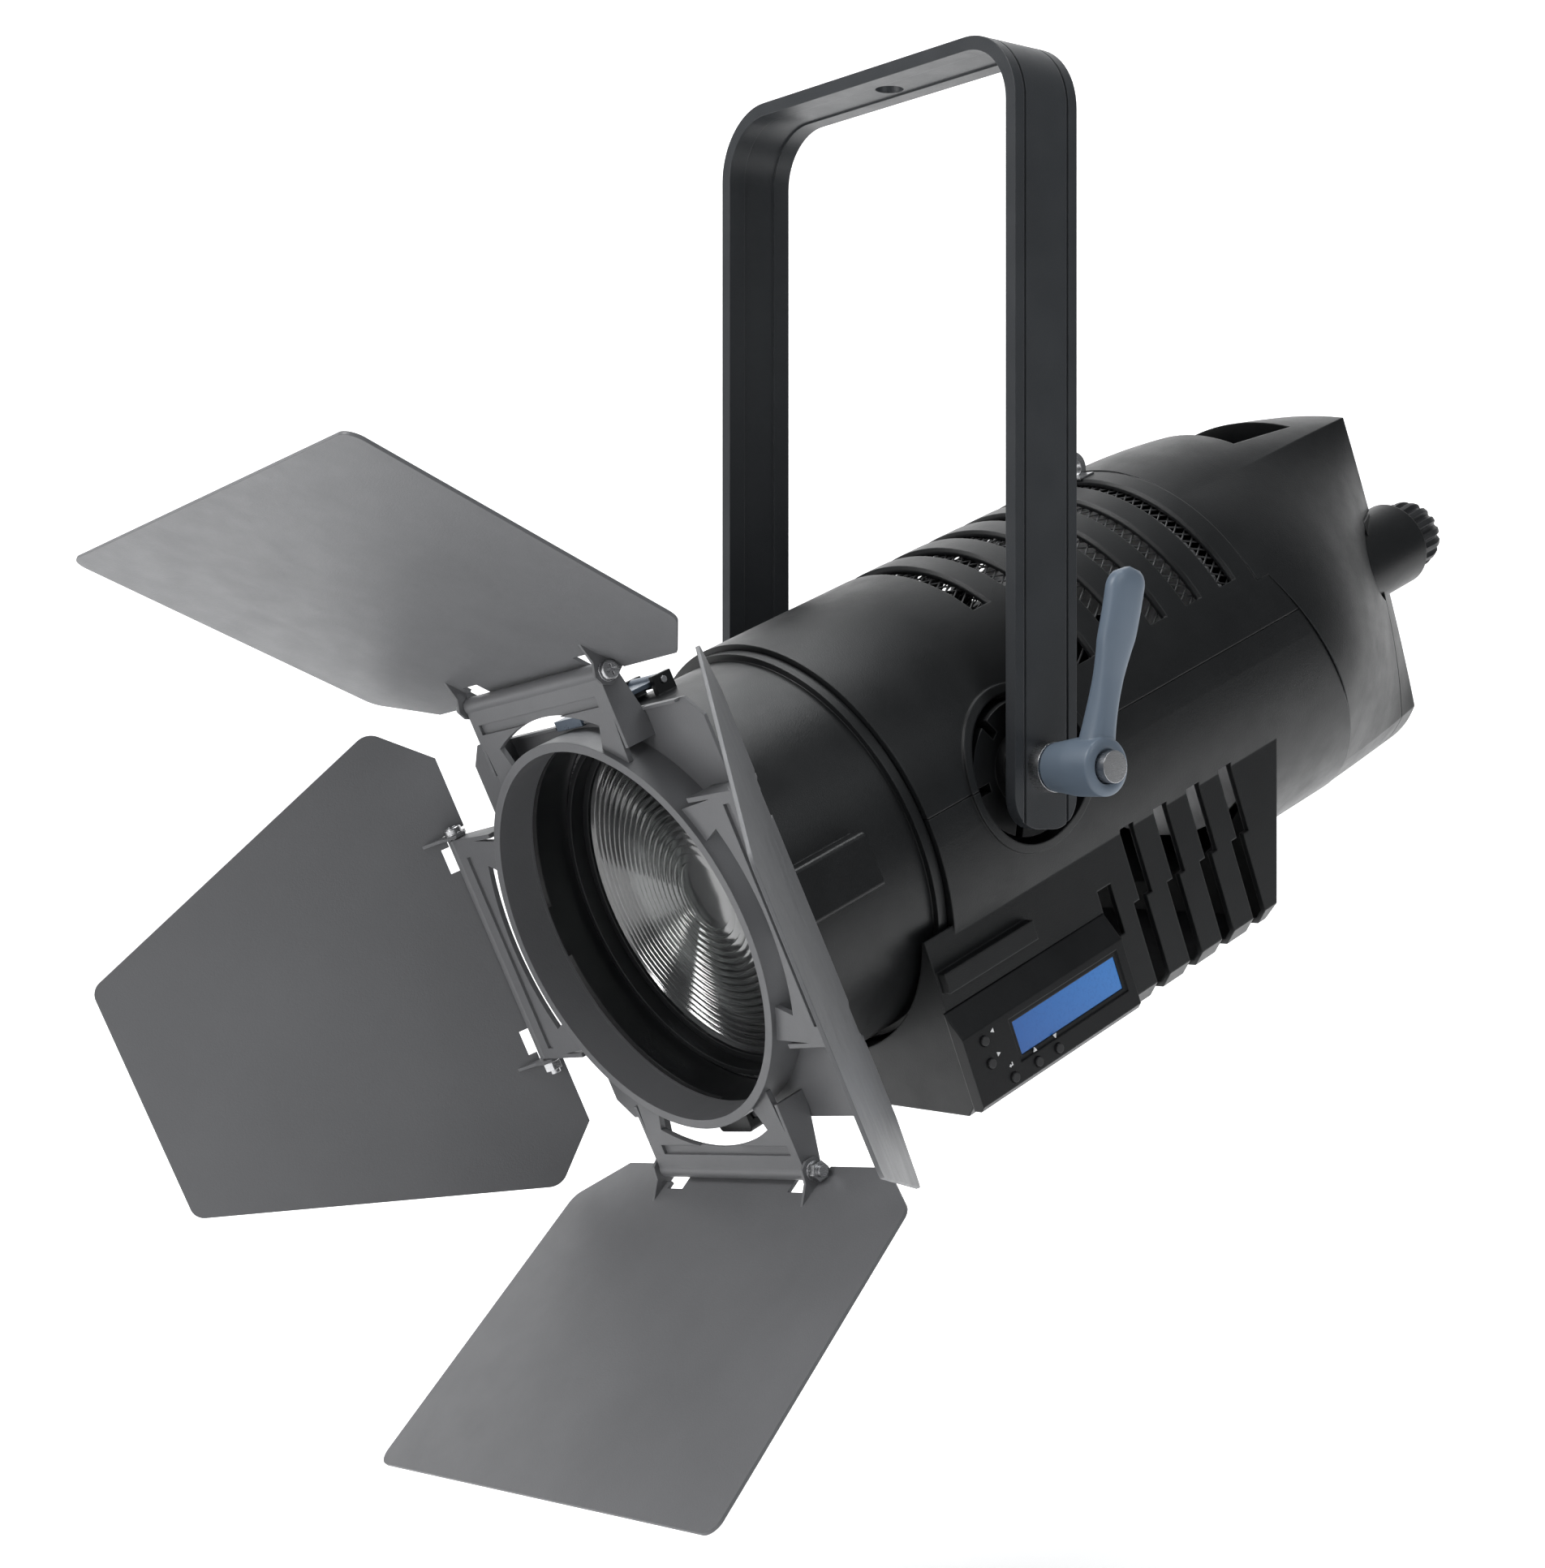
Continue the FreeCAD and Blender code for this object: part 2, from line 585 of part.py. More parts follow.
def lens_tube():
    """The fixed nose: the tube that holds the lens and carries the accessory ring."""
    rear = BARREL_FRONT + WALL + 6
    tube = pipe_y(LENS_TUBE_R, LENS_R + 0.4, LENS_FRONT - 8, rear)
    flange = pipe_y(LENS_TUBE_R + 5, LENS_R + 0.4, BARREL_FRONT + WALL + 0.1, rear)
    seat = pipe_y(LENS_R + 2, LENS_R - 3, LENS_FRONT + LENS_THICK + 1.2,
                  LENS_FRONT + LENS_THICK + 4)
    ears = [pipe_y(ROD_R + 4, ROD_R, rear - 4, rear + 4, sign * ROD_X) for sign in (1, -1)]
    webs = [box(*sorted((sign * (ROD_X + ROD_R + 2), sign * (LENS_TUBE_R + 1))), rear - 4, rear,
                AXIS_Z - 5, AXIS_Z + 5) for sign in (1, -1)]
    groove = pipe_y(LENS_TUBE_R + 1, LENS_TUBE_R - 1.2, LENS_FRONT - 5, LENS_FRONT - 3)
    return join(tube, flange, seat, *ears, *webs).cut(groove)


def fresnel_lens():
    """Flat at the back, stepped rings in front with a round middle."""
    steps = 9
    back = LENS_FRONT + LENS_THICK
    outline = [(0.0, back), (LENS_R, back), (LENS_R, back - 5)]
    centre = 20.0
    pitch = (LENS_R - 3 - centre) / steps
    for i in range(steps):
        r = LENS_R - 3 - i * pitch
        outline += [(r, back - 5), (r - pitch + 0.01, back - 8)]
    wire_points = outline + [(centre - 8, LENS_FRONT + 0.4), (0.0, LENS_FRONT)]
    return spin(wire_points)


def lens_gasket():
    return pipe_y(LENS_R, LENS_R - 3, LENS_FRONT + LENS_THICK, LENS_FRONT + LENS_THICK + 1.2)


def lens_retainer():
    """The ring that holds the lens from the front."""
    return pipe_y(LENS_R + 0.4, LENS_R - 3, LENS_FRONT - 1, LENS_FRONT + LENS_THICK - 5)


def bulkhead():
    y = COVER_SEAM - 18
    plate = rod_y(INNER_R - 3, y, y + 3).cut(box(-FAN_HALF + 2, FAN_HALF - 2, y - 1, y + 4,
                                                 AXIS_Z - FAN_HALF + 2, AXIS_Z + FAN_HALF - 2))
    for sign in (1, -1):
        plate = plate.cut(rod_y(ROD_R, y - 1, y + 4, sign * ROD_X))
    return plate.cut(rod_y(SCREW_R + 1, y - 1, y + 4, KNOB_X))


def guide_rods():
    low, high = BARREL_FRONT + WALL + 3, COVER_SEAM - 15
    return Part.makeCompound([rod_y(ROD_R, low, high, sign * ROD_X) for sign in (1, -1)])


FAN_Y = COVER_SEAM - 15
FAN_DEPTH = 20.0
FAN_R = FAN_HALF - 2.5


def fan_frame():
    """A square frame with a round duct and a motor seat on four struts."""
    frame = box(-FAN_HALF, FAN_HALF, FAN_Y, FAN_Y + FAN_DEPTH, AXIS_Z - FAN_HALF,
                AXIS_Z + FAN_HALF)
    frame = frame.cut(rod_y(FAN_R, FAN_Y - 1, FAN_Y + FAN_DEPTH + 1))
    seat = rod_y(10, FAN_Y + FAN_DEPTH - 3, FAN_Y + FAN_DEPTH)
    struts = [box(-1.5, 1.5, FAN_Y + FAN_DEPTH - 3, FAN_Y + FAN_DEPTH, AXIS_Z + 8,
                  AXIS_Z + FAN_R + 1)]
    for i in range(3):
        strut = struts[0].copy()
        strut.rotate(V(0, 0, AXIS_Z), Y, 90 * (i + 1))
        struts.append(strut)
    return join(frame, seat, *struts)


def fan_rotor():
    hub = rod_y(10, FAN_Y + 2, FAN_Y + FAN_DEPTH - 3.5)
    blades = []
    for i in range(7):
        blade = box(-0.7, 0.7, FAN_Y + 3, FAN_Y + FAN_DEPTH - 5, 9, FAN_R - 1)
        blade.rotate(V(0, FAN_Y + FAN_DEPTH / 2, 0), Z, 35)
        blade.translate(V(0, 0, AXIS_Z))
        blade.rotate(V(0, 0, AXIS_Z), Y, 360 / 7 * i)
        blades.append(blade)
    return join(hub, *blades).common(rod_y(FAN_R - 0.8, FAN_Y + 1, FAN_Y + FAN_DEPTH - 3.4))


def led_driver():
    case = box(-48, 24, COVER_SEAM + 14, TAIL_END - 36, AXIS_Z - 80, AXIS_Z - 36)
    return softened(case, 2.0, lambda m, e: runs_along(e, Y))


EYE_R = 7.5
EYE_HOLE_R = 4.2


def safety_eye():
    """The loop on top of the barrel that a safety wire goes through."""
    y, top = COVER_SEAM - EYE_R - 0.5, AXIS_Z + BARREL_R
    middle = top + EYE_HOLE_R + 0.6
    loop = pipe_x(EYE_R, EYE_HOLE_R, -2.5, 2.5, y, middle)
    foot = box(-9, 9, y - 5, y + 5, top - 3, top + 0.5)
    return join(loop, foot).cut(rod_y(BARREL_R, -100, 300))


def housing_screws():
    """Six screws up through the base."""
    return Part.makeCompound([screw(V(x, y, BASE_LOW - SCREW_HEAD), Z, WALL + 4)
                              for x, y in base_screw_places()])


def screw(place, inwards, length):
    """A pan head screw: a crossed head outside, a shank inside."""
    top = Part.makeCylinder(3.6, SCREW_HEAD, place, inwards)
    shank = Part.makeCylinder(SCREW_SHANK_R, length, place, inwards)
    side_way = X if abs(inwards.dot(X)) < 0.5 else Y
    cross = []
    for way in (side_way, inwards.cross(side_way)):
        bar = Part.makeBox(0.7, 4.0, 0.7, V(-0.35, -2.0, -0.01))
        turned = FreeCAD.Rotation(V(0, 1, 0), way)
        seat = FreeCAD.Rotation(turned.multVec(Z), inwards).multiply(turned)
        bar.Placement = FreeCAD.Placement(place, seat)
        cross.append(bar)
    return join(top, shank).cut(cross[0]).cut(cross[1])


# ---------------------------------------------------------------- control panel

PANEL_X = BASE_HALF + PANEL_PROUD


def control_bezel():
    """The panel's cover: a box with a sloping top, open behind, windowed for the display."""
    def block(inset, bevel):
        x0, x1 = BASE_HALF + 0.1, PANEL_X - inset
        low, knee, top = PANEL_LOW + inset, PANEL_KNEE - inset * 0.4, PANEL_TOP - inset
        wire = Part.makePolygon([V(x, PANEL_FRONT + inset, z) for x, z in (
            (x0, low), (x1 - bevel, low), (x1, low + bevel), (x1, knee), (x0, top), (x0, low))])
        return Part.Face(wire).extrude(V(0, PANEL_REAR - PANEL_FRONT - 2 * inset, 0))
    body = block(0, 2.5)
    inner = block(2.5, 0.5)
    body = body.cut(inner)
    body = body.cut(box(PANEL_X - 5, PANEL_X + 1, LCD_FRONT, LCD_REAR, LCD_LOW, LCD_TOP))
    frame = box(PANEL_X - 0.8, PANEL_X + 1, LCD_FRONT - 2.2, LCD_REAR + 2.2, LCD_LOW - 2.2,
                LCD_TOP + 2.2)
    body = body.cut(frame)
    for y, z in BUTTONS.values():
        body = body.cut(rod_x(BUTTON_R + RUN_CLEAR, PANEL_X - 5, PANEL_X + 1, y, z))
    return body


def display_window():
    pane = box(PANEL_X - 2.4, PANEL_X - 1.2, LCD_FRONT + 0.1, LCD_REAR - 0.1, LCD_LOW + 0.1,
               LCD_TOP - 0.1)
    return pane


def display_module():
    return box(PANEL_X - 8, PANEL_X - 2.6, LCD_FRONT - 3, LCD_REAR + 3, LCD_LOW - 0.5,
               LCD_TOP + 0.5).cut(box(PANEL_X - 9, PANEL_X, -500, LCD_FRONT - 2, -300, LCD_LOW))


def control_board():
    return box(PANEL_X - 14, PANEL_X - 12.4, PANEL_FRONT + 10, PANEL_REAR - 8, PANEL_LOW + 7,
               PANEL_KNEE + 1)


def button(y, z):
    """A cap that stands proud of the bezel, on a collar that stops it coming out."""
    cap = rod_x(BUTTON_R, PANEL_X - 2.6, PANEL_X + 1.2, y, z)
    cap = softened(cap, 0.5, lambda m, e: m.x > PANEL_X + 1.1)
    return join(cap, rod_x(BUTTON_R + 0.7, PANEL_X - 3.6, PANEL_X - 2.6, y, z))


# ---------------------------------------------------------------- focus drive

def led_carriage():
    plate = box(-ROD_X - 9, ROD_X + 9, CARRIAGE_Y, CARRIAGE_Y + 4, AXIS_Z - 38, AXIS_Z + 38)
    plate = softened(plate, 10.0, lambda m, e: runs_along(e, Y))
    for sign in (1, -1):
        plate = plate.cut(rod_y(ROD_R + 3, CARRIAGE_Y - 1, CARRIAGE_Y + 5, sign * ROD_X))
    return plate.cut(rod_y(SCREW_R + 4, CARRIAGE_Y - 1, CARRIAGE_Y + 5, KNOB_X))


def carriage_bushes():
    return Part.makeCompound([
        pipe_y(ROD_R + 3, ROD_R + RUN_CLEAR, CARRIAGE_Y - 6, CARRIAGE_Y + 10, sign * ROD_X)
        for sign in (1, -1)])


def carriage_nut():
    body = pipe_y(SCREW_R + 4, SCREW_R + RUN_CLEAR, CARRIAGE_Y - 8, CARRIAGE_Y + 4, KNOB_X)
    return body


def heat_sink():
    half = KNOB_X - SCREW_R - 5
    plate = box(-half, half, CARRIAGE_Y + 4, CARRIAGE_Y + 10, AXIS_Z - half, AXIS_Z + half)
    fins = []
    count = 11
    for i in range(count):
        x = -half + 1.5 + i * (2 * half - 3) / (count - 1)
        fins.append(box(x - 0.9, x + 0.9, CARRIAGE_Y + 9, CARRIAGE_Y + 58, AXIS_Z - half,
                        AXIS_Z + half))
    return join(plate, *fins)


def led_array():
    board = box(-19, 19, CARRIAGE_Y - 2, CARRIAGE_Y, AXIS_Z - 19, AXIS_Z + 19)
    return join(board, rod_y(12, CARRIAGE_Y - 3, CARRIAGE_Y - 2))


def reflector():
    """A cone-shaped reflector in front of the LED array."""
    back, front = CARRIAGE_Y - 2, CARRIAGE_Y - 26
    return spin([(13, back), (14.5, back), (30, front), (28.5, front)])


def lead_screw():
    return rod_y(SCREW_R, CARRIAGE_Y - CARRIAGE_TRAVEL / 2 - 12, POD_END + KNOB_BORE, KNOB_X)


def knob_bush():
    return pipe_y(BUSH_R, SCREW_R + RUN_CLEAR, TAIL_END - 14, POD_END, KNOB_X)


def zoom_knob():
    """A fluted knob with a rounded end."""
    y0, y1 = POD_END + 1.0, POD_END + KNOB_LENGTH
    knob = rod_y(KNOB_R, y0, y1, KNOB_X)
    knob = softened(knob, 2.5, lambda m, e: m.y > y1 - 0.1)
    count = 14
    for i in range(count):
        a = 2 * math.pi * i / count
        reach = KNOB_R + 1.2
        flute = rod_y(2.9, y0 - 1, y1 + 1, KNOB_X + reach * math.cos(a),
                      AXIS_Z + reach * math.sin(a))
        knob = knob.cut(flute)
    return knob.cut(rod_y(SCREW_R, y0 - 1, POD_END + KNOB_BORE, KNOB_X))


# ---------------------------------------------------------------- accessory ring

def accessory_collar():
    """The turning collar round the nose, with three lugs that hold a square frame."""
    rear = BARREL_FRONT - 0.6
    tube = pipe_y(COLLAR_R, COLLAR_R - 4, COLLAR_FRONT, rear)
    bearing = pipe_y(COLLAR_R - 3, LENS_TUBE_R + RUN_CLEAR, rear - 14, rear)
    lip = pipe_y(COLLAR_R + 3, COLLAR_R - 1, rear - 5, rear)
    whole = join(tube, bearing, lip)
    for angle in (90, 180, 270):
        lug = box(-LUG_WIDTH / 2, LUG_WIDTH / 2, COLLAR_FRONT - 7, COLLAR_FRONT + 44,
                  AXIS_Z + COLLAR_R - 6, AXIS_Z + PLATE_HALF + 5.5)
        lug = softened(lug, 2.0, lambda m, e: runs_along(e, Y) and m.z > AXIS_Z + PLATE_HALF)
        slot = box(-LUG_WIDTH, LUG_WIDTH, PLATE_Y - PLATE_SLOT, PLATE_Y + 0.2,
                   AXIS_Z + COLLAR_R - 8, AXIS_Z + PLATE_HALF + 0.5)
        relief = rod_y(HOOK_R, COLLAR_FRONT - 20, PLATE_Y - PLATE_SLOT + 0.1)
        whole = whole.fuse(side(lug.cut(slot).cut(relief), angle))
    hollow = rod_y(COLLAR_R - 4, COLLAR_FRONT - 10, rear - 14)
    hinge = [box(x, x + 3, LATCH_Y - 5, LATCH_Y + 5, AXIS_Z + COLLAR_R - 2, LATCH_Z + 3)
             for x in (-LATCH_HALF - 3.2, LATCH_HALF + 0.2)]
    whole = join(whole.cut(hollow), *hinge)
    return whole.cut(rod_x(1.5, -LATCH_HALF - 5, LATCH_HALF + 5, LATCH_Y, LATCH_Z))


HOOK_R = RING_R + 1.0             # the hooks stay outside the cast ring
LATCH_Y = COLLAR_FRONT + 38.0
LATCH_Z = AXIS_Z + COLLAR_R + 4.5
LATCH_HALF = 10.0


def frame_latch():
    """The sprung catch over the top edge of the frame, with a hole to lift it by."""
    plate = box(-LATCH_HALF, LATCH_HALF, PLATE_Y - PLATE_SLOT - 2, LATCH_Y, LATCH_Z - 1,
                LATCH_Z + 1)
    hook = box(-LATCH_HALF, LATCH_HALF, PLATE_Y - PLATE_SLOT - 2, PLATE_Y - PLATE_SLOT,
               AXIS_Z + HOOK_R, LATCH_Z + 1)
    knuckle = rod_x(3, -LATCH_HALF, LATCH_HALF, LATCH_Y, LATCH_Z)
    whole = join(plate, hook, knuckle)
    whole = whole.cut(rod_z(4, LATCH_Z - 3, LATCH_Z + 3, 0, COLLAR_FRONT + 12))
    return whole.cut(rod_x(1.5 + RUN_CLEAR, -50, 50, LATCH_Y, LATCH_Z))


def latch_pin():
    return rod_x(1.5, -LATCH_HALF - 4, LATCH_HALF + 4, LATCH_Y, LATCH_Z)


def collar_retainer():
    """The snap ring in the nose's groove that keeps the collar on."""
    y = LENS_FRONT - 5
    ring_part = pipe_y(COLLAR_R - 4.3, LENS_TUBE_R - 1.2, y + 0.1, y + 1.9)
    return ring_part.cut(box(-4, 4, y - 1, y + 4, AXIS_Z, AXIS_Z + 200))


def barn_plate():
    """The square sheet that slides into the lugs, with clipped corners."""
    h, clip = PLATE_HALF, 9.0
    corners = []
    for sx, sz in ((1, 1), (-1, 1), (-1, -1), (1, -1)):
        pair = [(sx * h, AXIS_Z + sz * (h - clip)), (sx * (h - clip), AXIS_Z + sz * h)]
        corners += pair if sx * sz > 0 else pair[::-1]
    sheet = prism_y(corners, PLATE_Y - PLATE_THICK, PLATE_Y)
    lip = box(-h + 34, h - 12, PLATE_Y - 4, PLATE_Y - PLATE_THICK + 0.5, AXIS_Z + h - 1.2,
              AXIS_Z + h)
    lip = lip.cut(box(-LATCH_HALF - 1.5, LATCH_HALF + 1.5, -300, 0, AXIS_Z, 300))
    for sign in (1, -1):
        low, high = sorted((sign * (HINGE_HALF - 4), sign * (HINGE_HALF + 2)))
        lip = lip.cut(box(low, high, -300, 0, AXIS_Z, 300))
    return join(sheet, *lip.Solids).cut(rod_y(RING_INNER_R, -300, 0))


RAIL_R = 4.0              # the bolt's round rail on a hinge bracket
FACE_FRONT = 3.4          # the bracket's face, in front of the hinge line
FACE_THICK = 2.5
SLOT_DEPTH = 1.6
ARC_SLOT = 10.5


def bracket(hinge_r):
    """A hinge bracket at the top of the ring: a rail for the bolt, a face and side flanges.

    The face has a long pocket below the rail and an arc slot along the ring.
    """
    hinge_z = AXIS_Z + hinge_r
    face_y = HINGE_Y - FACE_FRONT
    half = HINGE_HALF
    face = prism_y([(-half, hinge_z), (half, hinge_z), (half - 4, AXIS_Z + 74),
                    (-half + 4, AXIS_Z + 74)], face_y, face_y + FACE_THICK)
    face = face.cut(box(-half + 5, half - 9, face_y - 1, face_y + SLOT_DEPTH, hinge_z - 13,
                        hinge_z - 8.5))
    face = face.cut(spin([(RING_R, face_y - 1), (RING_R + ARC_SLOT, face_y - 1),
                          (RING_R + ARC_SLOT, face_y + 5), (RING_R, face_y + 5)], 66, 48))
    rail = rod_x(RAIL_R, -half, half, HINGE_Y, hinge_z)
    flanges = []
    for sign in (1, -1):
        x0, x1 = sorted((sign * half, sign * (half - 2)))
        flange = prism_x([(face_y, AXIS_Z + 80), (face_y, hinge_z), (HINGE_Y, hinge_z + 5),
                          (HINGE_Y + 5.5, hinge_z), (PLATE_Y - PLATE_THICK, AXIS_Z + 88),
                          (PLATE_Y - PLATE_THICK, AXIS_Z + 80)], x0, x1)
        flanges.append(flange)
    return join(face, rail, *flanges)


def barn_ring():
    """The cast ring with four hinge brackets."""
    whole = pipe_y(RING_R, RING_INNER_R, RING_FRONT, PLATE_Y - PLATE_THICK)
    whole = join(whole, *[side(bracket(sizes["hinge_r"]), angle)
                          for angle, sizes, _ in LEAVES.values()])
    whole = whole.cut(rod_y(RING_INNER_R, -300, 0))
    for angle, sizes, _ in LEAVES.values():
        holes = rod_x(BOLT_R, -HINGE_HALF - 5, HINGE_HALF + 5, HINGE_Y, AXIS_Z + sizes["hinge_r"])
        whole = whole.cut(side(holes, angle))
    return whole


EAR_GAP = 0.6
EAR_THICK = 1.5
SHEET_BACK = RAIL_R + 0.5  # a leaf's sheet passes behind the rail
TIP_R = 7.0               # rounded corners of a leaf
SHOULDER_R = 9.0


def leaf(sizes, opening):
    """A flat leaf on its hinge line at the top of the ring, opened from the ring's plane."""
    gap = HINGE_HALF + 2.0
    t = SHEET
    near, shoulder, tip = sizes["near"], sizes["shoulder"], sizes["tip"]
    start, back, length = 8.0, -6.0, sizes["length"]
    half = [(0, start), (gap, start), (gap + EAR_THICK, back), (near, back),
            (shoulder, sizes["set_back"]), (tip, length)]
    outline = half + [(-x, v) for x, v in reversed(half)][:-1]
    wire = Part.makePolygon([V(x, 0, v) for x, v in outline + outline[:1]])
    sheet = Part.Face(wire).extrude(V(0, t, 0))
    sheet = softened(sheet, TIP_R, lambda m, e: runs_along(e, Y) and m.z > length - 10)
    sheet = softened(sheet, SHOULDER_R, lambda m, e: runs_along(e, Y)
                     and abs(m.z - sizes["set_back"]) < 0.1)
    tongue_half = HINGE_HALF - 15
    sheet = join(sheet, box(-tongue_half, tongue_half, 0, t, -2, start + 1),
                 *[box(*sorted((sign * (HINGE_HALF - 3), sign * gap)), 0, t, 4, start + 1)
                   for sign in (1, -1)])
    # the sheet lies behind the hinge line, and the ears reach back over it
    sheet.translate(V(0, SHEET_BACK, 0))
    ears = []
    for sign in (1, -1):
        x0 = HINGE_HALF + EAR_GAP
        x0, x1 = sorted((sign * x0, sign * (x0 + EAR_THICK)))
        ears.append(prism_x([(SHEET_BACK + t, -6), (SHEET_BACK + t, 18), (0, 7), (-5, 4), (-6, 0),
                             (-4, -4.5)], x0, x1))
    whole = join(sheet, *ears)
    whole = whole.cut(rod_x(BOLT_R + RUN_CLEAR, -100, 100, 0, 0))
    whole.rotate(V(0, 0, 0), X, opening)
    whole.translate(V(0, HINGE_Y, AXIS_Z + sizes["hinge_r"]))
    return whole


def hinge_set():
    """A long bolt, a nut and two washers for each of the four hinges."""
    bolts, nuts, washers = [], [], []
    ear_end = HINGE_HALF + EAR_GAP + EAR_THICK
    seat = ear_end + WASHER_THICK
    for angle, sizes, _ in LEAVES.values():
        z = AXIS_Z + sizes["hinge_r"]
        bolt = join(rod_x(BOLT_R, -seat - NUT_THICK - 2, seat, HINGE_Y, z),
                    softened(rod_x(BOLT_HEAD_R, seat, seat + BOLT_HEAD, HINGE_Y, z), 1.0,
                             lambda m, e: m.x > seat + BOLT_HEAD - 0.1))
        for wide, high in ((0.9, 5.0), (5.0, 0.9)):
            bolt = bolt.cut(box(seat + BOLT_HEAD - 1.2, seat + BOLT_HEAD + 1, HINGE_Y - wide / 2,
                                HINGE_Y + wide / 2, z - high / 2, z + high / 2))
        nut = hexagon(NUT_ACROSS / 2, -seat - NUT_THICK, -seat, z)
        nut = nut.cut(rod_x(BOLT_R, -seat - 9, -seat + 1, HINGE_Y, z))
        pair = [pipe_x(WASHER_R, BOLT_R, *sorted((sign * ear_end, sign * seat)), HINGE_Y, z)
                for sign in (1, -1)]
        for group, piece in ((bolts, bolt), (nuts, nut), (washers, Part.makeCompound(pair))):
            group.append(side(piece, angle))
    return [Part.makeCompound(group) for group in (bolts, nuts, washers)]


def hexagon(inner_r, x0, x1, z):
    r = inner_r / math.cos(math.pi / 6)
    points = [(HINGE_Y + r * math.cos(math.pi / 3 * i), z + r * math.sin(math.pi / 3 * i))
              for i in range(6)]
    return prism_x(points, x0, x1)


def bottom_loop():
    """A wire loop riveted to the lower edge of the frame's plate, for its safety chain."""
    z, r = AXIS_Z - PLATE_HALF + 4, 1.2
    x0, x1 = 30.0, 52.0
    y, reach = PLATE_Y, 9.0
    legs = [Part.makeCylinder(r, reach, V(x, y, z), Y) for x in (x0, x1)]
    bridge = rod_x(r, x0, x1, y + reach, z)
    ends = [Part.makeSphere(r, V(x, y + reach, z)) for x in (x0, x1)]
    return join(*legs, bridge, *ends)


# ---------------------------------------------------------------- write the files

def pieces():
    """Every node's name with its finished shape."""
    shell = casing()
    made = {"yoke_frame": yoke_frame()}
    drop = V(0, 0, -PIVOT_DROP)
    for name, maker in (("far_pivot_bolt", far_pivot_bolt), ("pivot_washers", pivot_washers),
                        ("clamp_spacer", clamp_spacer), ("clamp_stud", clamp_stud),
                        ("clamp_cap", clamp_cap), ("clamp_lever", clamp_lever)):
        made[name] = maker()
        made[name].translate(drop)
    made["upper_housing"] = head(upper_housing(shell))
    made["lower_housing"] = head(lower_housing(shell))
    for maker in (rear_cover, end_cap, vent_mesh, pivot_drums, lens_tube, fresnel_lens,
                  lens_gasket, lens_retainer, bulkhead, guide_rods, fan_frame, fan_rotor,
                  led_driver, safety_eye, housing_screws, control_bezel, display_window,
                  display_module, control_board, led_carriage, carriage_bushes, carriage_nut,
                  heat_sink, led_array, reflector, lead_screw, knob_bush, zoom_knob):
        made[maker.__name__] = head(maker())
    data = []
    for x, z, r, name in SOCKETS:
        body = head(socket_body(x, z, r))
        if name == "data_socket":
            data.append(body)
        else:
            made[name] = body
    made["data_sockets"] = Part.makeCompound(data)
    for name, (y, z) in BUTTONS.items():
        made[name] = head(button(y, z))
    for maker in (accessory_collar, frame_latch, latch_pin, collar_retainer, barn_plate,
                  barn_ring, bottom_loop):
        made[maker.__name__] = ring(maker())
    for name, group in zip(("hinge_bolts", "hinge_nuts", "hinge_washers"), hinge_set()):
        made[name] = ring(group)
    for name, (angle, sizes, opening) in LEAVES.items():
        made[name] = ring(side(leaf(sizes, opening), angle))
    return made


os.makedirs("parts", exist_ok=True)
for node, shape in pieces().items():
    solids = shape.Solids
    whole = solids[0] if len(solids) == 1 else Part.makeCompound(solids)
    whole.exportStep("parts/" + node + ".step")
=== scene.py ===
"""Looks of an LED Fresnel spotlight with a hanging yoke and barn doors, around its CAD frame.

Metres, in the CAD's frame: +Z is up, +X is the side with the display, and the light shines
towards -Y and down. Run as a script, it registers its operators and calls them in order.
"""
import json
import math
import bmesh
import bpy
import numpy as np
from mathutils import Matrix, Vector


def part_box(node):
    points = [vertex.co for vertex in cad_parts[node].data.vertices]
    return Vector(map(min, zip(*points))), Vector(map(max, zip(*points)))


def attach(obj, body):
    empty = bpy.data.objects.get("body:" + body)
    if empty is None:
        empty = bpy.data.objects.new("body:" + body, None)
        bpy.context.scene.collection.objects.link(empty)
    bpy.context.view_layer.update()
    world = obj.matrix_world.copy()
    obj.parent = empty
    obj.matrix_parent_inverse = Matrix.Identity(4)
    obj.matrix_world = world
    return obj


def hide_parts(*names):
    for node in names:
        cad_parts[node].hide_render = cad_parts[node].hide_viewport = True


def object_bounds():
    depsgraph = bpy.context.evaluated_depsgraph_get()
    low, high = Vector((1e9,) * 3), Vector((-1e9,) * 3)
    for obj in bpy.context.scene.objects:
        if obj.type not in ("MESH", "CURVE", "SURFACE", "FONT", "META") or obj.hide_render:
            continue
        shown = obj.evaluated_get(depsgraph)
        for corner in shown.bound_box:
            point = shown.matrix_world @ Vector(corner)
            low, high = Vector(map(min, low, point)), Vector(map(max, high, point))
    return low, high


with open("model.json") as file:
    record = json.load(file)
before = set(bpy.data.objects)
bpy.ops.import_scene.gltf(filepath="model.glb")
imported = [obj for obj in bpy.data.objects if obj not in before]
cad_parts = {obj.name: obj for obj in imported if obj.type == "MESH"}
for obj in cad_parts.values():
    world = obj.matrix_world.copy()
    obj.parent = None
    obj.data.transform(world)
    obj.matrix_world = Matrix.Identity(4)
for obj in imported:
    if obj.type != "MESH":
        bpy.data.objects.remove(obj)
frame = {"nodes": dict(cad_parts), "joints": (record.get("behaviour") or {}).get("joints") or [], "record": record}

bl_info = {
    "name": "Fresnel spotlight",
    "version": (1, 0, 0),
    "blender": (4, 5, 0),
    "location": "View3D > Sidebar > Spotlight",
    "description": "Builds the looks of a stage spotlight around its CAD frame",
    "category": "Object",
}

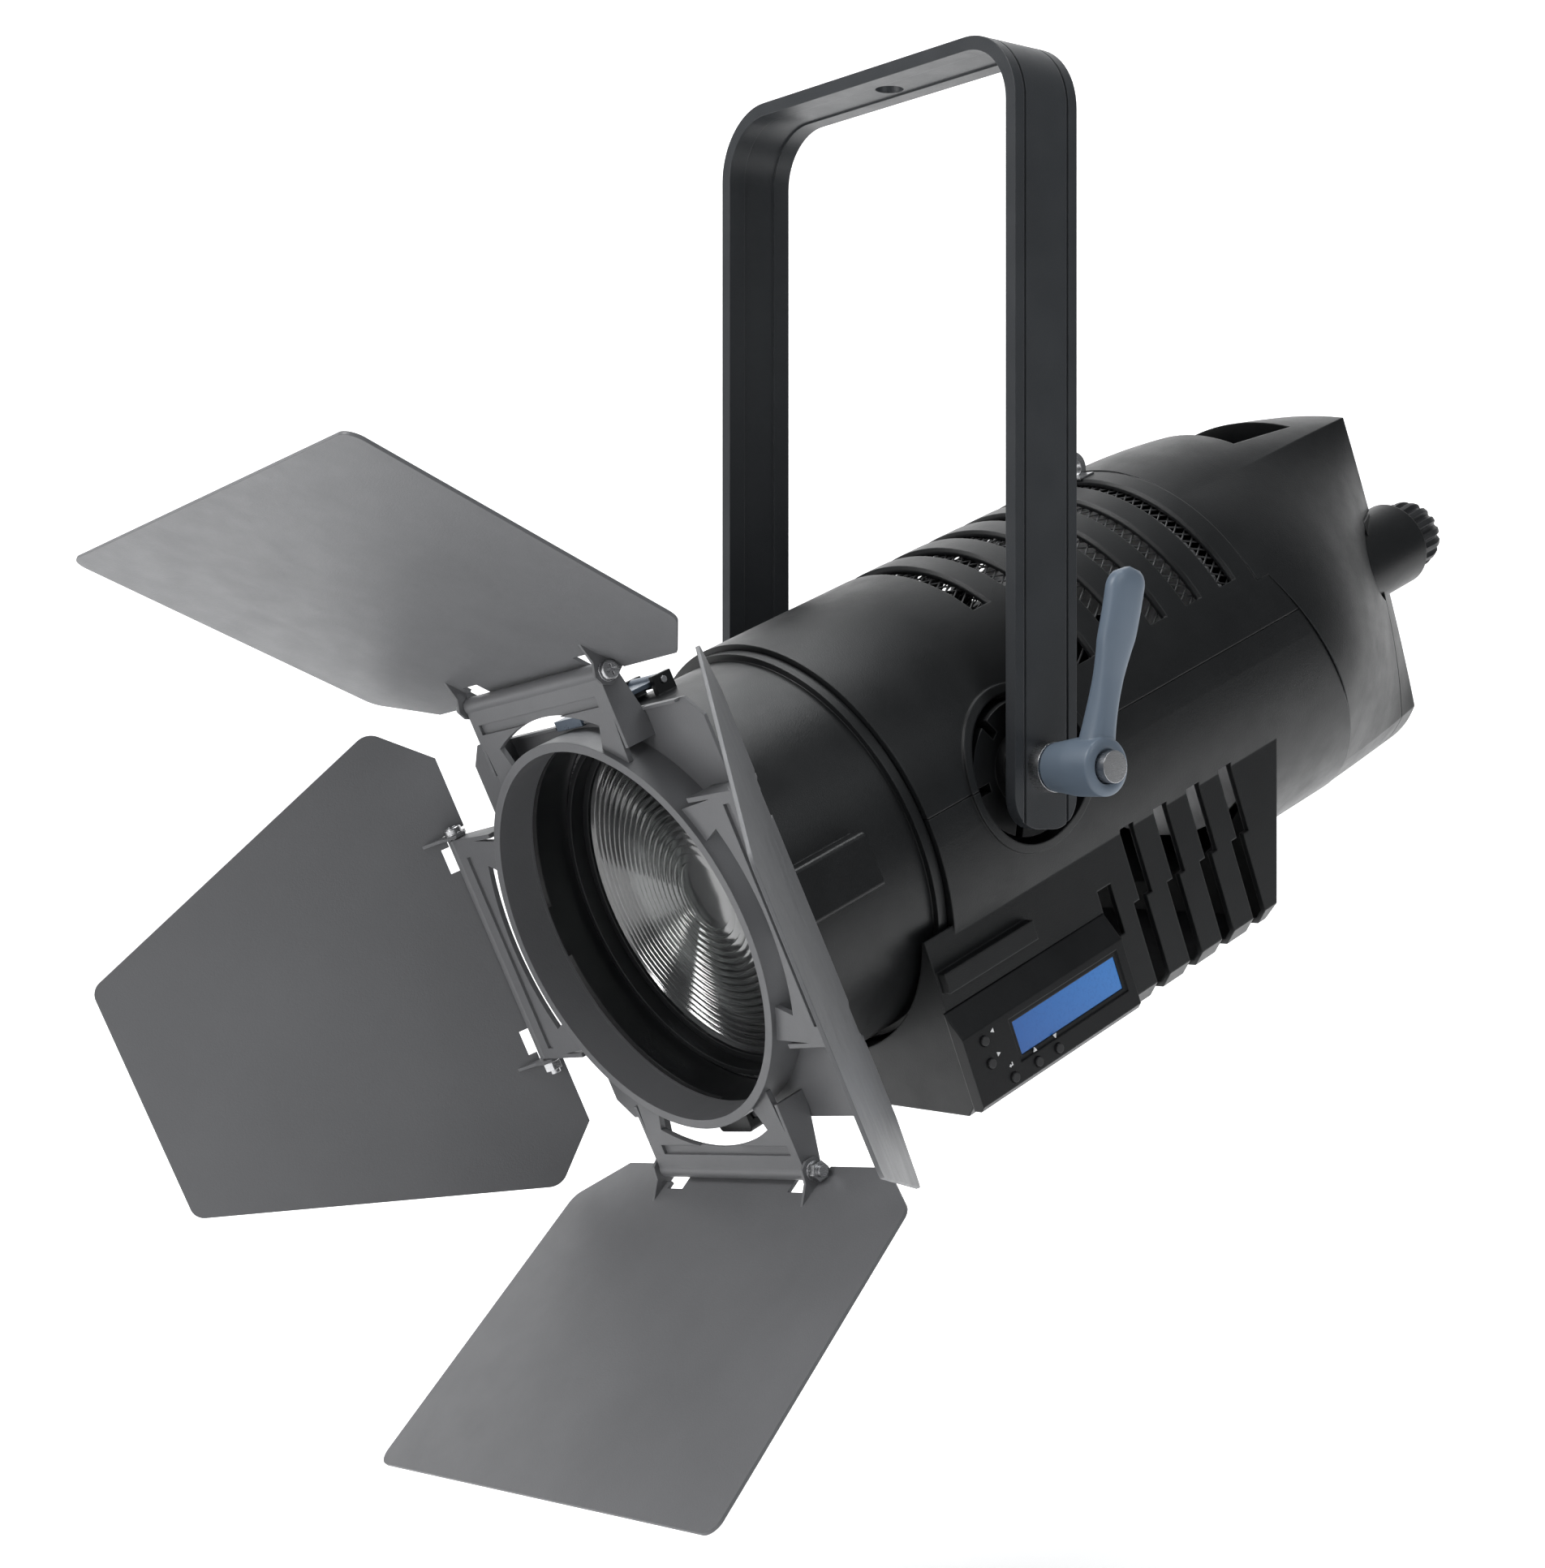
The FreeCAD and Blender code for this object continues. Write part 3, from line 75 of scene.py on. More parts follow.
CAD_BOX = [list(corner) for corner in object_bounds()]
JOINTS = {joint["name"]: joint for joint in frame["joints"]}
NODES = frame["nodes"]


# ---------------------------------------------------------------- places from the frame

class Place:
    """A local frame: points given in it, in metres, are carried to the CAD's frame."""

    def __init__(self, origin, x_axis, y_axis):
        self.origin = np.array(origin, float)
        x = np.array(x_axis, float)
        y = np.array(y_axis, float)
        self.axes = np.stack([x, y, np.cross(x, y)])

    def out(self, points):
        return np.asarray(points) @ self.axes + self.origin

    def into(self, points):
        return (np.asarray(points) - self.origin) @ self.axes.T

    def box(self, node):
        """Lowest and highest corners of a CAD node in this local frame."""
        mesh = NODES[node].data
        flat = np.empty(len(mesh.vertices) * 3)
        mesh.vertices.foreach_get("co", flat)
        local = self.into(flat.reshape(-1, 3))
        return local.min(0), local.max(0)


TILT_AXIS = JOINTS["head_tilt"]["axis"]
BEAM_AXIS = JOINTS["ring_roll"]["axis"]
HEAD = Place(JOINTS["head_tilt"]["pos_m"], TILT_AXIS, BEAM_AXIS)
BEAM = Place(JOINTS["ring_roll"]["pos_m"], TILT_AXIS, BEAM_AXIS)
KNOB = Place(JOINTS["focus_turn"]["pos_m"], TILT_AXIS, BEAM_AXIS)
CLAMP = Place(JOINTS["clamp_turn"]["pos_m"], TILT_AXIS, (0, 1, 0))


# ---------------------------------------------------------------- meshes

def grid_faces(rows, columns, wrap):
    """Quads of a rows x columns grid of points; wrap joins the last column to the first."""
    last = columns if wrap else columns - 1
    row, column = np.meshgrid(np.arange(rows - 1), np.arange(last), indexing="ij")
    a = row * columns + column
    b = row * columns + (column + 1) % columns
    return np.stack([a, b, b + columns, a + columns], -1).reshape(-1, 4)


MERGE = 1e-6                # points nearer than this, in metres, are one point


def new_piece(name, grids, body, material, replaces, place, angle):
    """One mesh object from (points, wrap) grids: doubles merged, faces turned outwards."""
    points, faces, start = [], [], 0
    for grid, wrap in grids:
        rows, columns = grid.shape[:2]
        points.append(grid.reshape(-1, 3))
        faces.append(grid_faces(rows, columns, wrap) + start)
        start += rows * columns
    points = place.out(np.concatenate(points))
    mesh = bpy.data.meshes.new(name)
    mesh.from_pydata(points.tolist(), [], np.concatenate(faces).tolist())
    work = bmesh.new()
    work.from_mesh(mesh)
    bmesh.ops.remove_doubles(work, verts=work.verts, dist=MERGE)
    bmesh.ops.dissolve_degenerate(work, edges=work.edges, dist=MERGE / 10)
    bmesh.ops.recalc_face_normals(work, faces=work.faces)
    work.to_mesh(mesh)
    work.free()
    piece = bpy.data.objects.new(name, mesh)
    bpy.context.scene.collection.objects.link(piece)
    smooth(piece, angle)
    mesh.materials.append(material)
    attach(piece, body)
    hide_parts(*replaces)
    return piece


def smooth(piece, angle):
    """Smooth shading with creases over the angle, in degrees."""
    piece.data.shade_smooth()
    piece.data.set_sharp_from_angle(angle=math.radians(angle))


def turned(profile, count):
    """A profile of (radius, y) turned once about Y: x = r cos a, z = r sin a."""
    profile = np.asarray(profile, float)
    angle = np.linspace(0, 2 * math.pi, count, endpoint=False)
    r, y = profile[:, 0, None], profile[:, 1, None]
    return np.stack([r * np.cos(angle), np.broadcast_to(y, (len(profile), len(angle))),
                     r * np.sin(angle)], -1)


NEARLY_HALF = 0.45          # share of a profile's side that its rounding may take


def rounded_profile(corners, radius, steps):
    """(r, y) corners with each inner corner cut by a quadratic curve of about that radius."""
    corners = [np.array(c, float) for c in corners]
    done = [corners[0]]
    for before, here, after in zip(corners, corners[1:], corners[2:]):
        back, ahead = before - here, after - here
        reach = min(radius, NEARLY_HALF * np.linalg.norm(back),
                    NEARLY_HALF * np.linalg.norm(ahead))
        start = here + back / np.linalg.norm(back) * reach
        end = here + ahead / np.linalg.norm(ahead) * reach
        t = np.linspace(0, 1, steps + 1)[:, None]
        done += list((1 - t) ** 2 * start + 2 * t * (1 - t) * here + t ** 2 * end)
    return np.array(done + [corners[-1]])


# ---------------------------------------------------------------- shader graphs

class Socket:
    """An output socket that can stand in an expression; each operator adds a Math node."""

    def __init__(self, graph, socket):
        self.graph = graph
        self.socket = socket

    def maths(self, operation, *values):
        return self.graph.node("Math", {"operation": operation}, dict(enumerate(values)))

    def __add__(self, other): return self.maths("ADD", self, other)
    def __radd__(self, other): return self.maths("ADD", other, self)
    def __sub__(self, other): return self.maths("SUBTRACT", self, other)
    def __rsub__(self, other): return self.maths("SUBTRACT", other, self)
    def __mul__(self, other): return self.maths("MULTIPLY", self, other)
    def __rmul__(self, other): return self.maths("MULTIPLY", other, self)
    def __truediv__(self, other): return self.maths("DIVIDE", self, other)
    def __pow__(self, other): return self.maths("POWER", self, other)

    def between(self, low, high):
        """0 below low, 1 above high, straight between."""
        return self.graph.node("MapRange", {"clamp": True},
                               {"Value": self, "From Min": low, "From Max": high})


class Graph:
    """One material's nodes."""

    def __init__(self, name):
        self.material = bpy.data.materials.new(name)
        self.material.use_nodes = True
        self.tree = self.material.node_tree
        self.tree.nodes.clear()

    def node(self, kind, settings=None, inputs=None, output=0):
        """Adds a node: its settings, then its inputs by name or number; returns one output."""
        made = self.tree.nodes.new("ShaderNode" + kind)
        for key, value in (settings or {}).items():
            setattr(made, key, value)
        for key, value in (inputs or {}).items():
            if isinstance(value, Socket):
                self.tree.links.new(value.socket, made.inputs[key])
            else:
                made.inputs[key].default_value = value
        return Socket(self, made.outputs[output]) if made.outputs else made

    def mix(self, factor, first, second):
        """Colour mix: first at factor 0, second at 1."""
        return self.node("Mix", {"data_type": "RGBA"}, {0: factor, 6: first, 7: second}, 2)

    def place(self):
        return self.node("TexCoord", output="Object")

    def noise(self, vector, scale, detail=2.0, roughness=0.5):
        return self.node("TexNoise", {}, {"Vector": vector, "Scale": scale, "Detail": detail,
                                          "Roughness": roughness})

    def edges(self, radius):
        """The rounded-edge normal, and a mask that is 1 on edges narrower than the radius."""
        rounded = self.node("Bevel", {"samples": 6}, {"Radius": radius})
        plain = self.node("NewGeometry", output="Normal")
        alike = self.node("VectorMath", {"operation": "DOT_PRODUCT"}, {0: rounded, 1: plain}, 1)
        return rounded, (1 - alike).between(0.01, 0.12)

    def surface(self, shader):
        """Ends the graph with a Principled BSDF of these inputs."""
        bsdf = self.node("BsdfPrincipled", {}, shader)
        self.node("OutputMaterial", {}, {"Surface": bsdf})
        return self.material


def grey(level, tint=(1.0, 1.0, 1.0)):
    return (level * tint[0], level * tint[1], level * tint[2], 1.0)


def coated(name, colour, roughness, grain=0.25, grain_size=0.5, edge=0.0006, edge_highlight_and_wear_amount=0.25,
           metallic=0.0, patch=0.12, shine=0.5):
    """Moulded or powder coated skin.

    Colour = base mixed with a lighter tone by slow noise, then lightened along the edges: a painted edge
    highlight, broken up by noise like wear.
    Bump = fine noise of about grain_size millimetres over the rounded-edge normal.
    """
    g = Graph(name)
    at = g.place()
    rounded, edge_highlight_and_wear = g.edges(edge)
    slow = g.noise(at, 14.0, 3.0)
    fine = g.noise(at, 1000.0 / grain_size, 2.0, 0.6)
    smudge = g.noise(at, 55.0, 4.0, 0.6).between(0.35, 0.75)
    base = grey(1.0, colour)
    lighter = tuple(min(1.0, c * 1.35 + 0.004) for c in colour) + (1.0,)
    # lighter colour for the edges: a painted edge highlight, partly wear
    edge_highlight_and_wear_colour = tuple(min(1.0, c * 1.9 + 0.02) for c in colour) + (1.0,)
    tone = g.mix(slow.between(0.3, 0.7) * patch * 4, base, lighter)
    # edges take the lighter colour: painted highlight along the rounded edges, broken up by noise like wear
    tone = g.mix(edge_highlight_and_wear * smudge * edge_highlight_and_wear_amount, tone, edge_highlight_and_wear_colour)
    rough = roughness + (smudge - 0.5) * 0.10 + (fine - 0.5) * 0.08
    normal = g.node("Bump", {}, {"Strength": grain, "Distance": 0.0002, "Height": fine,
                                 "Normal": rounded})
    return g.surface({"Base Color": tone, "Roughness": rough, "Metallic": metallic,
                      "Specular IOR Level": shine, "Normal": normal})


def bare_metal(name, colour, roughness, brush=(1.0, 1.0, 30.0), edge=0.0004, strength=0.15):
    """Plated or machined metal: stretched noise gives the tool marks."""
    g = Graph(name)
    at = g.place()
    rounded, edge_highlight_and_wear = g.edges(edge)
    stretched = g.node("Mapping", {}, {"Vector": at, "Scale": brush})
    marks = g.noise(stretched, 350.0, 3.0)
    stain = g.noise(at, 60.0, 4.0)
    dull = tuple(c * 0.72 for c in colour) + (1.0,)
    tone = g.mix(stain.between(0.4, 0.7), colour + (1.0,), dull)
    # edges a fifth lighter: a painted edge highlight, partly wear
    tone = g.mix(edge_highlight_and_wear * 0.5, tone, tuple(min(1.0, c * 1.2) for c in colour) + (1.0,))
    rough = roughness + (marks - 0.5) * 0.18 + (stain - 0.5) * 0.12
    normal = g.node("Bump", {}, {"Strength": strength, "Distance": 0.0001, "Height": marks,
                                 "Normal": rounded})
    return g.surface({"Base Color": tone, "Roughness": rough, "Metallic": 1.0,
                      "Normal": normal})


def lens_glass():
    """Pressed glass over a dark inside: glossy, with faint ripples; its grey tint is painted shade that darkens
    the inside seen through it.
    """
    g = Graph("pressed_glass")
    at = g.place()
    ripple = g.noise(at, 140.0, 2.0)
    dust = g.noise(at, 900.0, 3.0).between(0.45, 0.8)
    normal = g.node("Bump", {}, {"Strength": 0.10, "Distance": 0.0003, "Height": ripple})
    # grey tint of the glass, darker in dust speckles: painted shade that darkens the inside seen through the lens
    tone = g.mix(dust * 0.3, (0.34, 0.36, 0.35, 1.0), (0.26, 0.27, 0.27, 1.0))
    return g.surface({"Base Color": tone, "Roughness": 0.08 + ripple * 0.08 + dust * 0.06,
                      "IOR": 1.52, "Transmission Weight": 1.0, "Specular IOR Level": 0.9,
                      "Coat Weight": 1.0, "Coat Roughness": 0.12, "Coat IOR": 2.1,
                      "Normal": normal})


def display_blue():
    """A backlit display: blue, lighter towards its upper front corner, with faint segments."""
    g = Graph("display_blue")
    at = g.place()
    low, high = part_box("display_window")
    parts = g.node("SeparateXYZ", {}, {0: at}, 1)
    height = g.node("SeparateXYZ", {}, {0: at}, 2)
    along = parts.between(low.y, high.y)
    up = height.between(low.z, high.z)
    glow = along * 0.6 + up * 0.4
    cell = g.node("TexNoise", {}, {"Vector": at, "Scale": 900.0, "Detail": 1.0})
    tone = g.mix(glow, (0.012, 0.075, 0.27, 1.0), (0.035, 0.16, 0.44, 1.0))
    tone = g.mix((cell - 0.5).between(0.0, 0.3) * 0.25, tone, (0.010, 0.055, 0.20, 1.0))
    return g.surface({"Base Color": tone, "Roughness": 0.12 + cell * 0.05,
                      "Emission Color": tone, "Emission Strength": 0.4, "Coat Weight": 0.5,
                      "Coat Roughness": 0.05})


def reflector_metal():
    """Bright spun reflector with rings left by the tool."""
    return bare_metal("spun_reflector", (0.86, 0.86, 0.87), 0.18, (1.0, 12.0, 1.0))


def circuit_board():
    """Green solder mask over tracks that show as a lighter square pattern."""
    g = Graph("circuit_board")
    at = g.place()
    tracks = g.node("TexBrick", {}, {"Vector": at, "Scale": 160.0, "Mortar Size": 0.03}, "Fac")
    tone = g.mix(tracks, (0.012, 0.09, 0.035, 1.0), (0.06, 0.24, 0.10, 1.0))
    return g.surface({"Base Color": tone, "Roughness": 0.35 + tracks * 0.2})


def phosphor():
    """The LED array: a yellow phosphor disc, mottled."""
    g = Graph("phosphor")
    cell = g.noise(g.place(), 700.0, 2.0)
    tone = g.mix(cell, (0.85, 0.62, 0.08, 1.0), (0.95, 0.80, 0.25, 1.0))
    return g.surface({"Base Color": tone, "Roughness": 0.5 + cell * 0.2})


def marking_white():
    """Screen printed white, a little uneven."""
    g = Graph("printed_white")
    spots = g.noise(g.place(), 2500.0, 2.0)
    tone = g.mix(spots, (0.62, 0.62, 0.62, 1.0), (0.85, 0.85, 0.85, 1.0))
    return g.surface({"Base Color": tone, "Roughness": 0.45 + spots * 0.15})


# ---------------------------------------------------------------- settings

class SpotlightColours(bpy.types.PropertyGroup):
    body: bpy.props.FloatVectorProperty(
        name="Body", description="Moulded plastic of the head", subtype="COLOR",
        default=(0.0062, 0.0067, 0.0073))
    yoke: bpy.props.FloatVectorProperty(
        name="Yoke", description="Powder coat of the yoke", subtype="COLOR",
        default=(0.026, 0.0285, 0.032))
    leaves: bpy.props.FloatVectorProperty(
        name="Barn doors", description="Powder coat of the barn doors", subtype="COLOR",
        default=(0.120, 0.121, 0.126))
    lever: bpy.props.FloatVectorProperty(
        name="Clamp lever", description="Cast clamp lever", subtype="COLOR",
        default=(0.120, 0.155, 0.200))


class SpotlightSizes(bpy.types.PropertyGroup):
    lens_rings: bpy.props.IntProperty(
        name="Lens rings", description="Steps between the lens's middle and its rim",
        default=17, min=4)
    knob_ribs: bpy.props.IntProperty(
        name="Knob ribs", description="Ribs round the focus knob", default=16, min=6)
    mesh_pitch: bpy.props.FloatProperty(
        name="Mesh pitch", description="Length of one opening of the vent mesh",
        default=0.0052, subtype="DISTANCE", unit="LENGTH")


def colours():
    return bpy.context.scene.spotlight_colours


def sizes():
    return bpy.context.scene.spotlight_sizes


# ---------------------------------------------------------------- new pieces

RIM_FLANGE = 0.0045         # width of the lens's plain rim


def lens_profile(rim, front, back, rings):
    """Half section of the stepped lens as (r, y), front face first.

    A round middle, then rings: from the last ring's valley a slanting riser comes forward
    over 0.8 of the step to a crest, y = step * (1 - u) ** 1.3, and the facet falls back to
    the next valley, y = step * u ** 1.4. The step is 0.6 mm + 1.6 mm * (r / rim) ** 1.5.
    """
    middle = 0.20 * rim
    edge = rim - RIM_FLANGE
    bounds_r = middle + (edge - middle) * np.linspace(0, 1, rings + 1) ** 0.95
    valley = front + 0.0002
    points = [(middle * u, front + 0.0012 * u ** 2) for u in np.linspace(0, 1, 12)]
    for inner, outer in zip(bounds_r, bounds_r[1:]):
        step = 0.0006 + 0.0016 * (outer / rim) ** 1.5
        crest = inner + 0.8 * step
        points += [(inner + 0.8 * step * u, valley + step * (1 - u) ** 1.3)
                   for u in (0.2, 0.4, 0.6, 0.8, 1.0)]
        points += [(crest + (outer - crest) * u, valley + step * u ** 1.4)
                   for u in (0.3, 0.6, 1.0)]
    points += [(edge + 0.0018, front + 0.0004), (rim - 0.001, front + 0.0008),
               (rim, front + 0.0020), (rim, back), (0.0, back)]
    return points


def make_lens(materials):
    low, high = BEAM.box("fresnel_lens")
    profile = lens_profile(high[0], low[1], high[1], sizes().lens_rings)
    new_piece("stepped_lens", [(turned(profile, 192), True)], "head", materials["glass"],
              ["fresnel_lens"], BEAM, 20)


FLUTE_DEPTH = 0.0019


def make_knob(materials):
    """Ribbed knob: r = profile(y) - flute depth * how far the angle is from a rib."""
    low, high = KNOB.box("zoom_knob")
    radius, y0, y1 = high[0], low[1], high[1]
    outline = rounded_profile([(0.0045, y0), (radius * 0.86, y0), (radius * 0.97, y0 + 0.003),
                               (radius, y1 - 0.006), (radius * 0.86, y1), (0.0, y1)], 0.004, 6)
    body = turned(outline, 16 * sizes().knob_ribs)
    angle = np.arctan2(body[..., 2], body[..., 0])
    reach = np.hypot(body[..., 0], body[..., 2])
    wave = np.cos(angle * sizes().knob_ribs)
    groove = np.clip((0.15 - wave) / 1.15, 0, 1) ** 0.7
    at_side = np.clip((reach / radius - 0.62) / 0.3, 0, 1)
    shrink = 1 - FLUTE_DEPTH * groove * at_side / np.maximum(reach, MERGE)
    body[..., 0] *= shrink
    body[..., 2] *= shrink
    new_piece("ribbed_knob", [(body, True)], "focus_knob", materials["knob"],
              ["zoom_knob"], KNOB, 40)


HUB_BORE = 0.0072           # radius of the recess for the cap screw
HUB_RECESS = 0.0075         # its depth
ARM_LEAN = 0.010            # how far the arm's tip stands to the back
ARM_SQUARENESS = 2.8        # power of the arm's superellipse


def make_lever(materials):
    """Clamp lever: a turned hub, and an arm that is a superellipse carried up a bowed line.

    Arm centre: x rises from the hub's middle to its outer face as 3u^2 - 2u^3, z = u * reach.
    Half widths: waist near the hub, swelling to a flat rounded tip; the end closes as
    sqrt(1 - w^2).
    """
    low, high = CLAMP.box("clamp_lever")
    hub_r = -low[2]
    hub_back, hub_front = low[0], high[0] - 0.006
    reach = high[2]
    hub = rounded_profile([(0.0077, hub_back), (hub_r * 0.84, hub_back),
                           (hub_r * 0.9, hub_back + 0.006), (hub_r, hub_back + 0.014),
                           (hub_r, hub_front - 0.001), (hub_r - 0.0022, hub_front),
                           (HUB_BORE, hub_front), (HUB_BORE, hub_front - HUB_RECESS),
                           (HUB_BORE - 0.002, hub_front - HUB_RECESS)], 0.002, 4)
    hub_points = turned(hub, 72)[..., [1, 0, 2]]
    u = np.linspace(0, 1, 44)[:, None]
    a = np.linspace(0, 2 * math.pi, 40, endpoint=False)[None, :]
    bow = 3 * u ** 2 - 2 * u ** 3
    mid_x = hub_front - 0.0085 + 0.0095 * bow
    lean = ARM_LEAN * u
    swell = np.clip((u - 0.2) / 0.8, 0, 1)
    half_y = 0.0092 - 0.0028 * np.clip(1 - (u - 0.32) ** 2 / 0.1, 0, 1) + 0.0006 * swell
    half_x = 0.0075 - 0.0028 * np.clip(u / 0.45, 0, 1)
    tip = np.sqrt(np.clip(1 - np.clip((u - 0.9) / 0.1, 0, 1) ** 2, 0, 1))
    power = 2 / ARM_SQUARENESS
    ca, sa = np.cos(a), np.sin(a)
    x = mid_x + half_x * (0.35 + 0.65 * tip) * np.sign(ca) * np.abs(ca) ** power * (tip > 0)
    y = lean + half_y * tip * np.sign(sa) * np.abs(sa) ** power
    z = u * reach + 0 * a
    x = np.where(tip > 0, x, mid_x + 0 * a)
    arm = np.stack([x, y, z], -1)
    new_piece("cast_lever", [(hub_points, True), (arm, True)], "clamp_lever",
              materials["lever"], ["clamp_lever"], CLAMP, 50)


STRIP_WIDTH = 0.001
STRIP_THICK = 0.0005
STRIP_SLANT = 0.6           # round the barrel per metre along it
MESH_ENDS = (math.radians(16), math.radians(164))


def make_vent_mesh(materials):
    """Expanded mesh: two families of flat strips that cross at a slant round the barrel.

    A strip's centre runs with arc = start + slant * y at the mesh's radius, or back again
    for the second family, and Solidify gives it its thickness.
    """
    low, high = BEAM.box("vent_mesh")
    radius = high[2] - STRIP_THICK
    y0, y1 = low[1] + 0.002, high[1] - 0.002
    pitch = sizes().mesh_pitch
    start, end = MESH_ENDS
    round_arc = (end - start) * radius
    slant_arc = (y1 - y0) * STRIP_SLANT
    offsets = np.arange(int((round_arc + slant_arc) / pitch)) * pitch
    t = np.linspace(0, 1, 60)
    y = y0 + t * (y1 - y0)
    grids = []
    for arcs in (offsets[:, None] - slant_arc + t * slant_arc,
                 offsets[:, None] + (1 - t) * slant_arc):
        for arc in arcs:
            keep = (arc >= 0) & (arc <= round_arc)
            if keep.sum() < 2:
                continue
            angle = start + arc[keep] / radius
            strip = [np.stack([radius * np.cos(angle + side / radius), y[keep],
                               radius * np.sin(angle + side / radius)], -1)
                     for side in (-STRIP_WIDTH / 2, STRIP_WIDTH / 2)]
            grids.append((np.stack(strip, 1), False))
    piece = new_piece("expanded_mesh", grids, "head", materials["mesh"],
                      ["vent_mesh"], BEAM, 180)
    solid = piece.modifiers.new("thickness", "SOLIDIFY")
    solid.thickness = STRIP_THICK
    solid.offset = 0


MARK_SIZE = 0.0021
MARK_PROUD = 0.00015        # height of the printed marks over the panel
MARK_FOOT = 0.00027         # how far they go into it


def make_panel_marks(materials):
    """Printed triangles and a return arrow beside the buttons, as flat raised outlines."""
    face = HEAD.box("control_bezel")[1][0]
    triangle = np.array([(-0.5, -0.45), (0.5, -0.45), (0.0, 0.5)])
    arrow = np.array([(0.5, 0.5), (0.5, -0.25), (-0.15, -0.25), (-0.15, -0.5), (-0.6, -0.12),
                      (-0.15, 0.26), (-0.15, 0.0), (0.28, 0.0), (0.28, 0.5)])
    # node, outline, its turn in degrees, its place from the button's middle: back, up
    marks = [("button_back", triangle, 90, 0.0055, 0.002),
             ("button_menu", triangle, -90, 0.0055, 0.002),
             ("button_enter", arrow, 0, 0.0, 0.0058), ("button_up", triangle, 0, 0.0, 0.0058),
             ("button_down", triangle, 180, 0.0, 0.0058)]
    work = bmesh.new()
    for node, outline, angle, forward, up in marks:
        low, high = HEAD.box(node)
        middle = (low + high) / 2
        turn = Matrix.Rotation(math.radians(angle), 2)
        corners = [turn @ Vector(p) * MARK_SIZE for p in outline.tolist()]
        top, foot = ([work.verts.new(HEAD.out((x, middle[1] + forward + c.x,
                                               middle[2] + up + c.y))) for c in corners]
                     for x in (face + MARK_PROUD, face - MARK_FOOT))
        work.faces.new(top)
        work.faces.new(foot[::-1])
        for i in range(len(top)):
            j = (i + 1) % len(top)
            work.faces.new((top[i], foot[i], foot[j], top[j]))
    bmesh.ops.recalc_face_normals(work, faces=work.faces)
    mesh = bpy.data.meshes.new("panel_marks")
    work.to_mesh(mesh)
    work.free()
    piece = bpy.data.objects.new("panel_marks", mesh)
    bpy.context.scene.collection.objects.link(piece)
    mesh.materials.append(materials["white"])
    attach(piece, "head")


# ---------------------------------------------------------------- materials of the CAD pieces

def all_materials():
    c = colours()
    body, yoke, leaf, lever = tuple(c.body), tuple(c.yoke), tuple(c.leaves), tuple(c.lever)
    return {
        "body": coated("moulded_body", body, 0.40, 0.35, 0.7, 0.0011, 0.2, shine=0.32),
        "yoke": coated("yoke_coat", yoke, 0.40, 0.5, 0.6, 0.0006, 0.5),
        "leaf": coated("door_coat", leaf, 0.48, 0.4, 0.8, 0.0005, 0.5, patch=0.08),
        "lever": coated("lever_coat", lever, 0.40, 0.2, 0.6, 0.0008, 0.4),
        "nose": coated("nose_coat", body, 0.38, 0.3, 0.6, 0.0008, 0.25, shine=0.35),
        "boss": coated("boss_plastic", (0.0055, 0.0057, 0.0062), 0.36, 0.2, 0.7, 0.0007, 0.3,
                       shine=0.3),
        "panel": coated("panel_plastic", (0.005, 0.0053, 0.006), 0.36, 0.2, 0.8, 0.0008, 0.2,
                        shine=0.25),
        "button": coated("button_rubber", (0.011, 0.011, 0.012), 0.55, 0.2, 0.5, 0.0003, 0.2),
        "knob": coated("knob_plastic", (0.011, 0.0115, 0.013), 0.45, 0.3, 0.7, 0.0004, 0.3),
        "socket": coated("socket_plastic", (0.009, 0.009, 0.010), 0.3, 0.15, 0.8, 0.0004, 0.2),
        "fan": coated("fan_plastic", (0.012, 0.012, 0.013), 0.45, 0.2, 0.8, 0.0004, 0.2),
        "nylon": coated("nylon", (0.55, 0.55, 0.52), 0.5, 0.1, 0.8, 0.0003, 0.1),
        "rubber": coated("seal_rubber", (0.012, 0.012, 0.012), 0.7, 0.3, 0.5, 0.0003, 0.1),
        "mesh": coated("mesh_paint", (0.020, 0.020, 0.021), 0.45, 0.2, 0.5, 0.0002, 0.4),
        "latch": coated("latch_plate", (0.10, 0.125, 0.16), 0.32, 0.2, 0.6, 0.0005, 0.6,
                        metallic=0.6),
        "steel": bare_metal("plated_steel", (0.56, 0.56, 0.57), 0.28),
        "aluminium": bare_metal("milled_aluminium", (0.62, 0.62, 0.63), 0.38),
        "bronze": bare_metal("sintered_bronze", (0.45, 0.30, 0.14), 0.45),
        "reflector": reflector_metal(),
        "glass": lens_glass(),
        "display": display_blue(),
        "board": circuit_board(),
        "phosphor": phosphor(),
        "white": marking_white(),
    }


FINISH_OF_SLOT = {
    "yoke_black": "yoke", "steel": "steel", "nylon": "nylon", "cast_lever": "lever",
    "body_plastic": "body", "mesh_steel": "mesh", "boss_black": "boss", "nose_black": "nose",
    "lens_glass": "glass", "seal_rubber": "rubber", "bare_aluminium": "aluminium",
    "fan_plastic": "fan", "panel_plastic": "panel", "display_glass": "display",
    "board_green": "board", "bronze": "bronze", "led_yellow": "phosphor",
    "mirror_reflector": "reflector", "knob_plastic": "knob", "socket_plastic": "socket",
    "latch_steel": "latch", "leaf_grey": "leaf", "button_rubber": "button",
}


def finish_frame(materials):
    """Gives every CAD node the finish of its slot."""
    for part in frame["record"]["subparts"]:
        node = NODES[part["node"]]
        finish = materials[FINISH_OF_SLOT[part["material_slot"]]]
        node.data.materials.clear()
        node.data.materials.append(finish)


# ---------------------------------------------------------------- stage

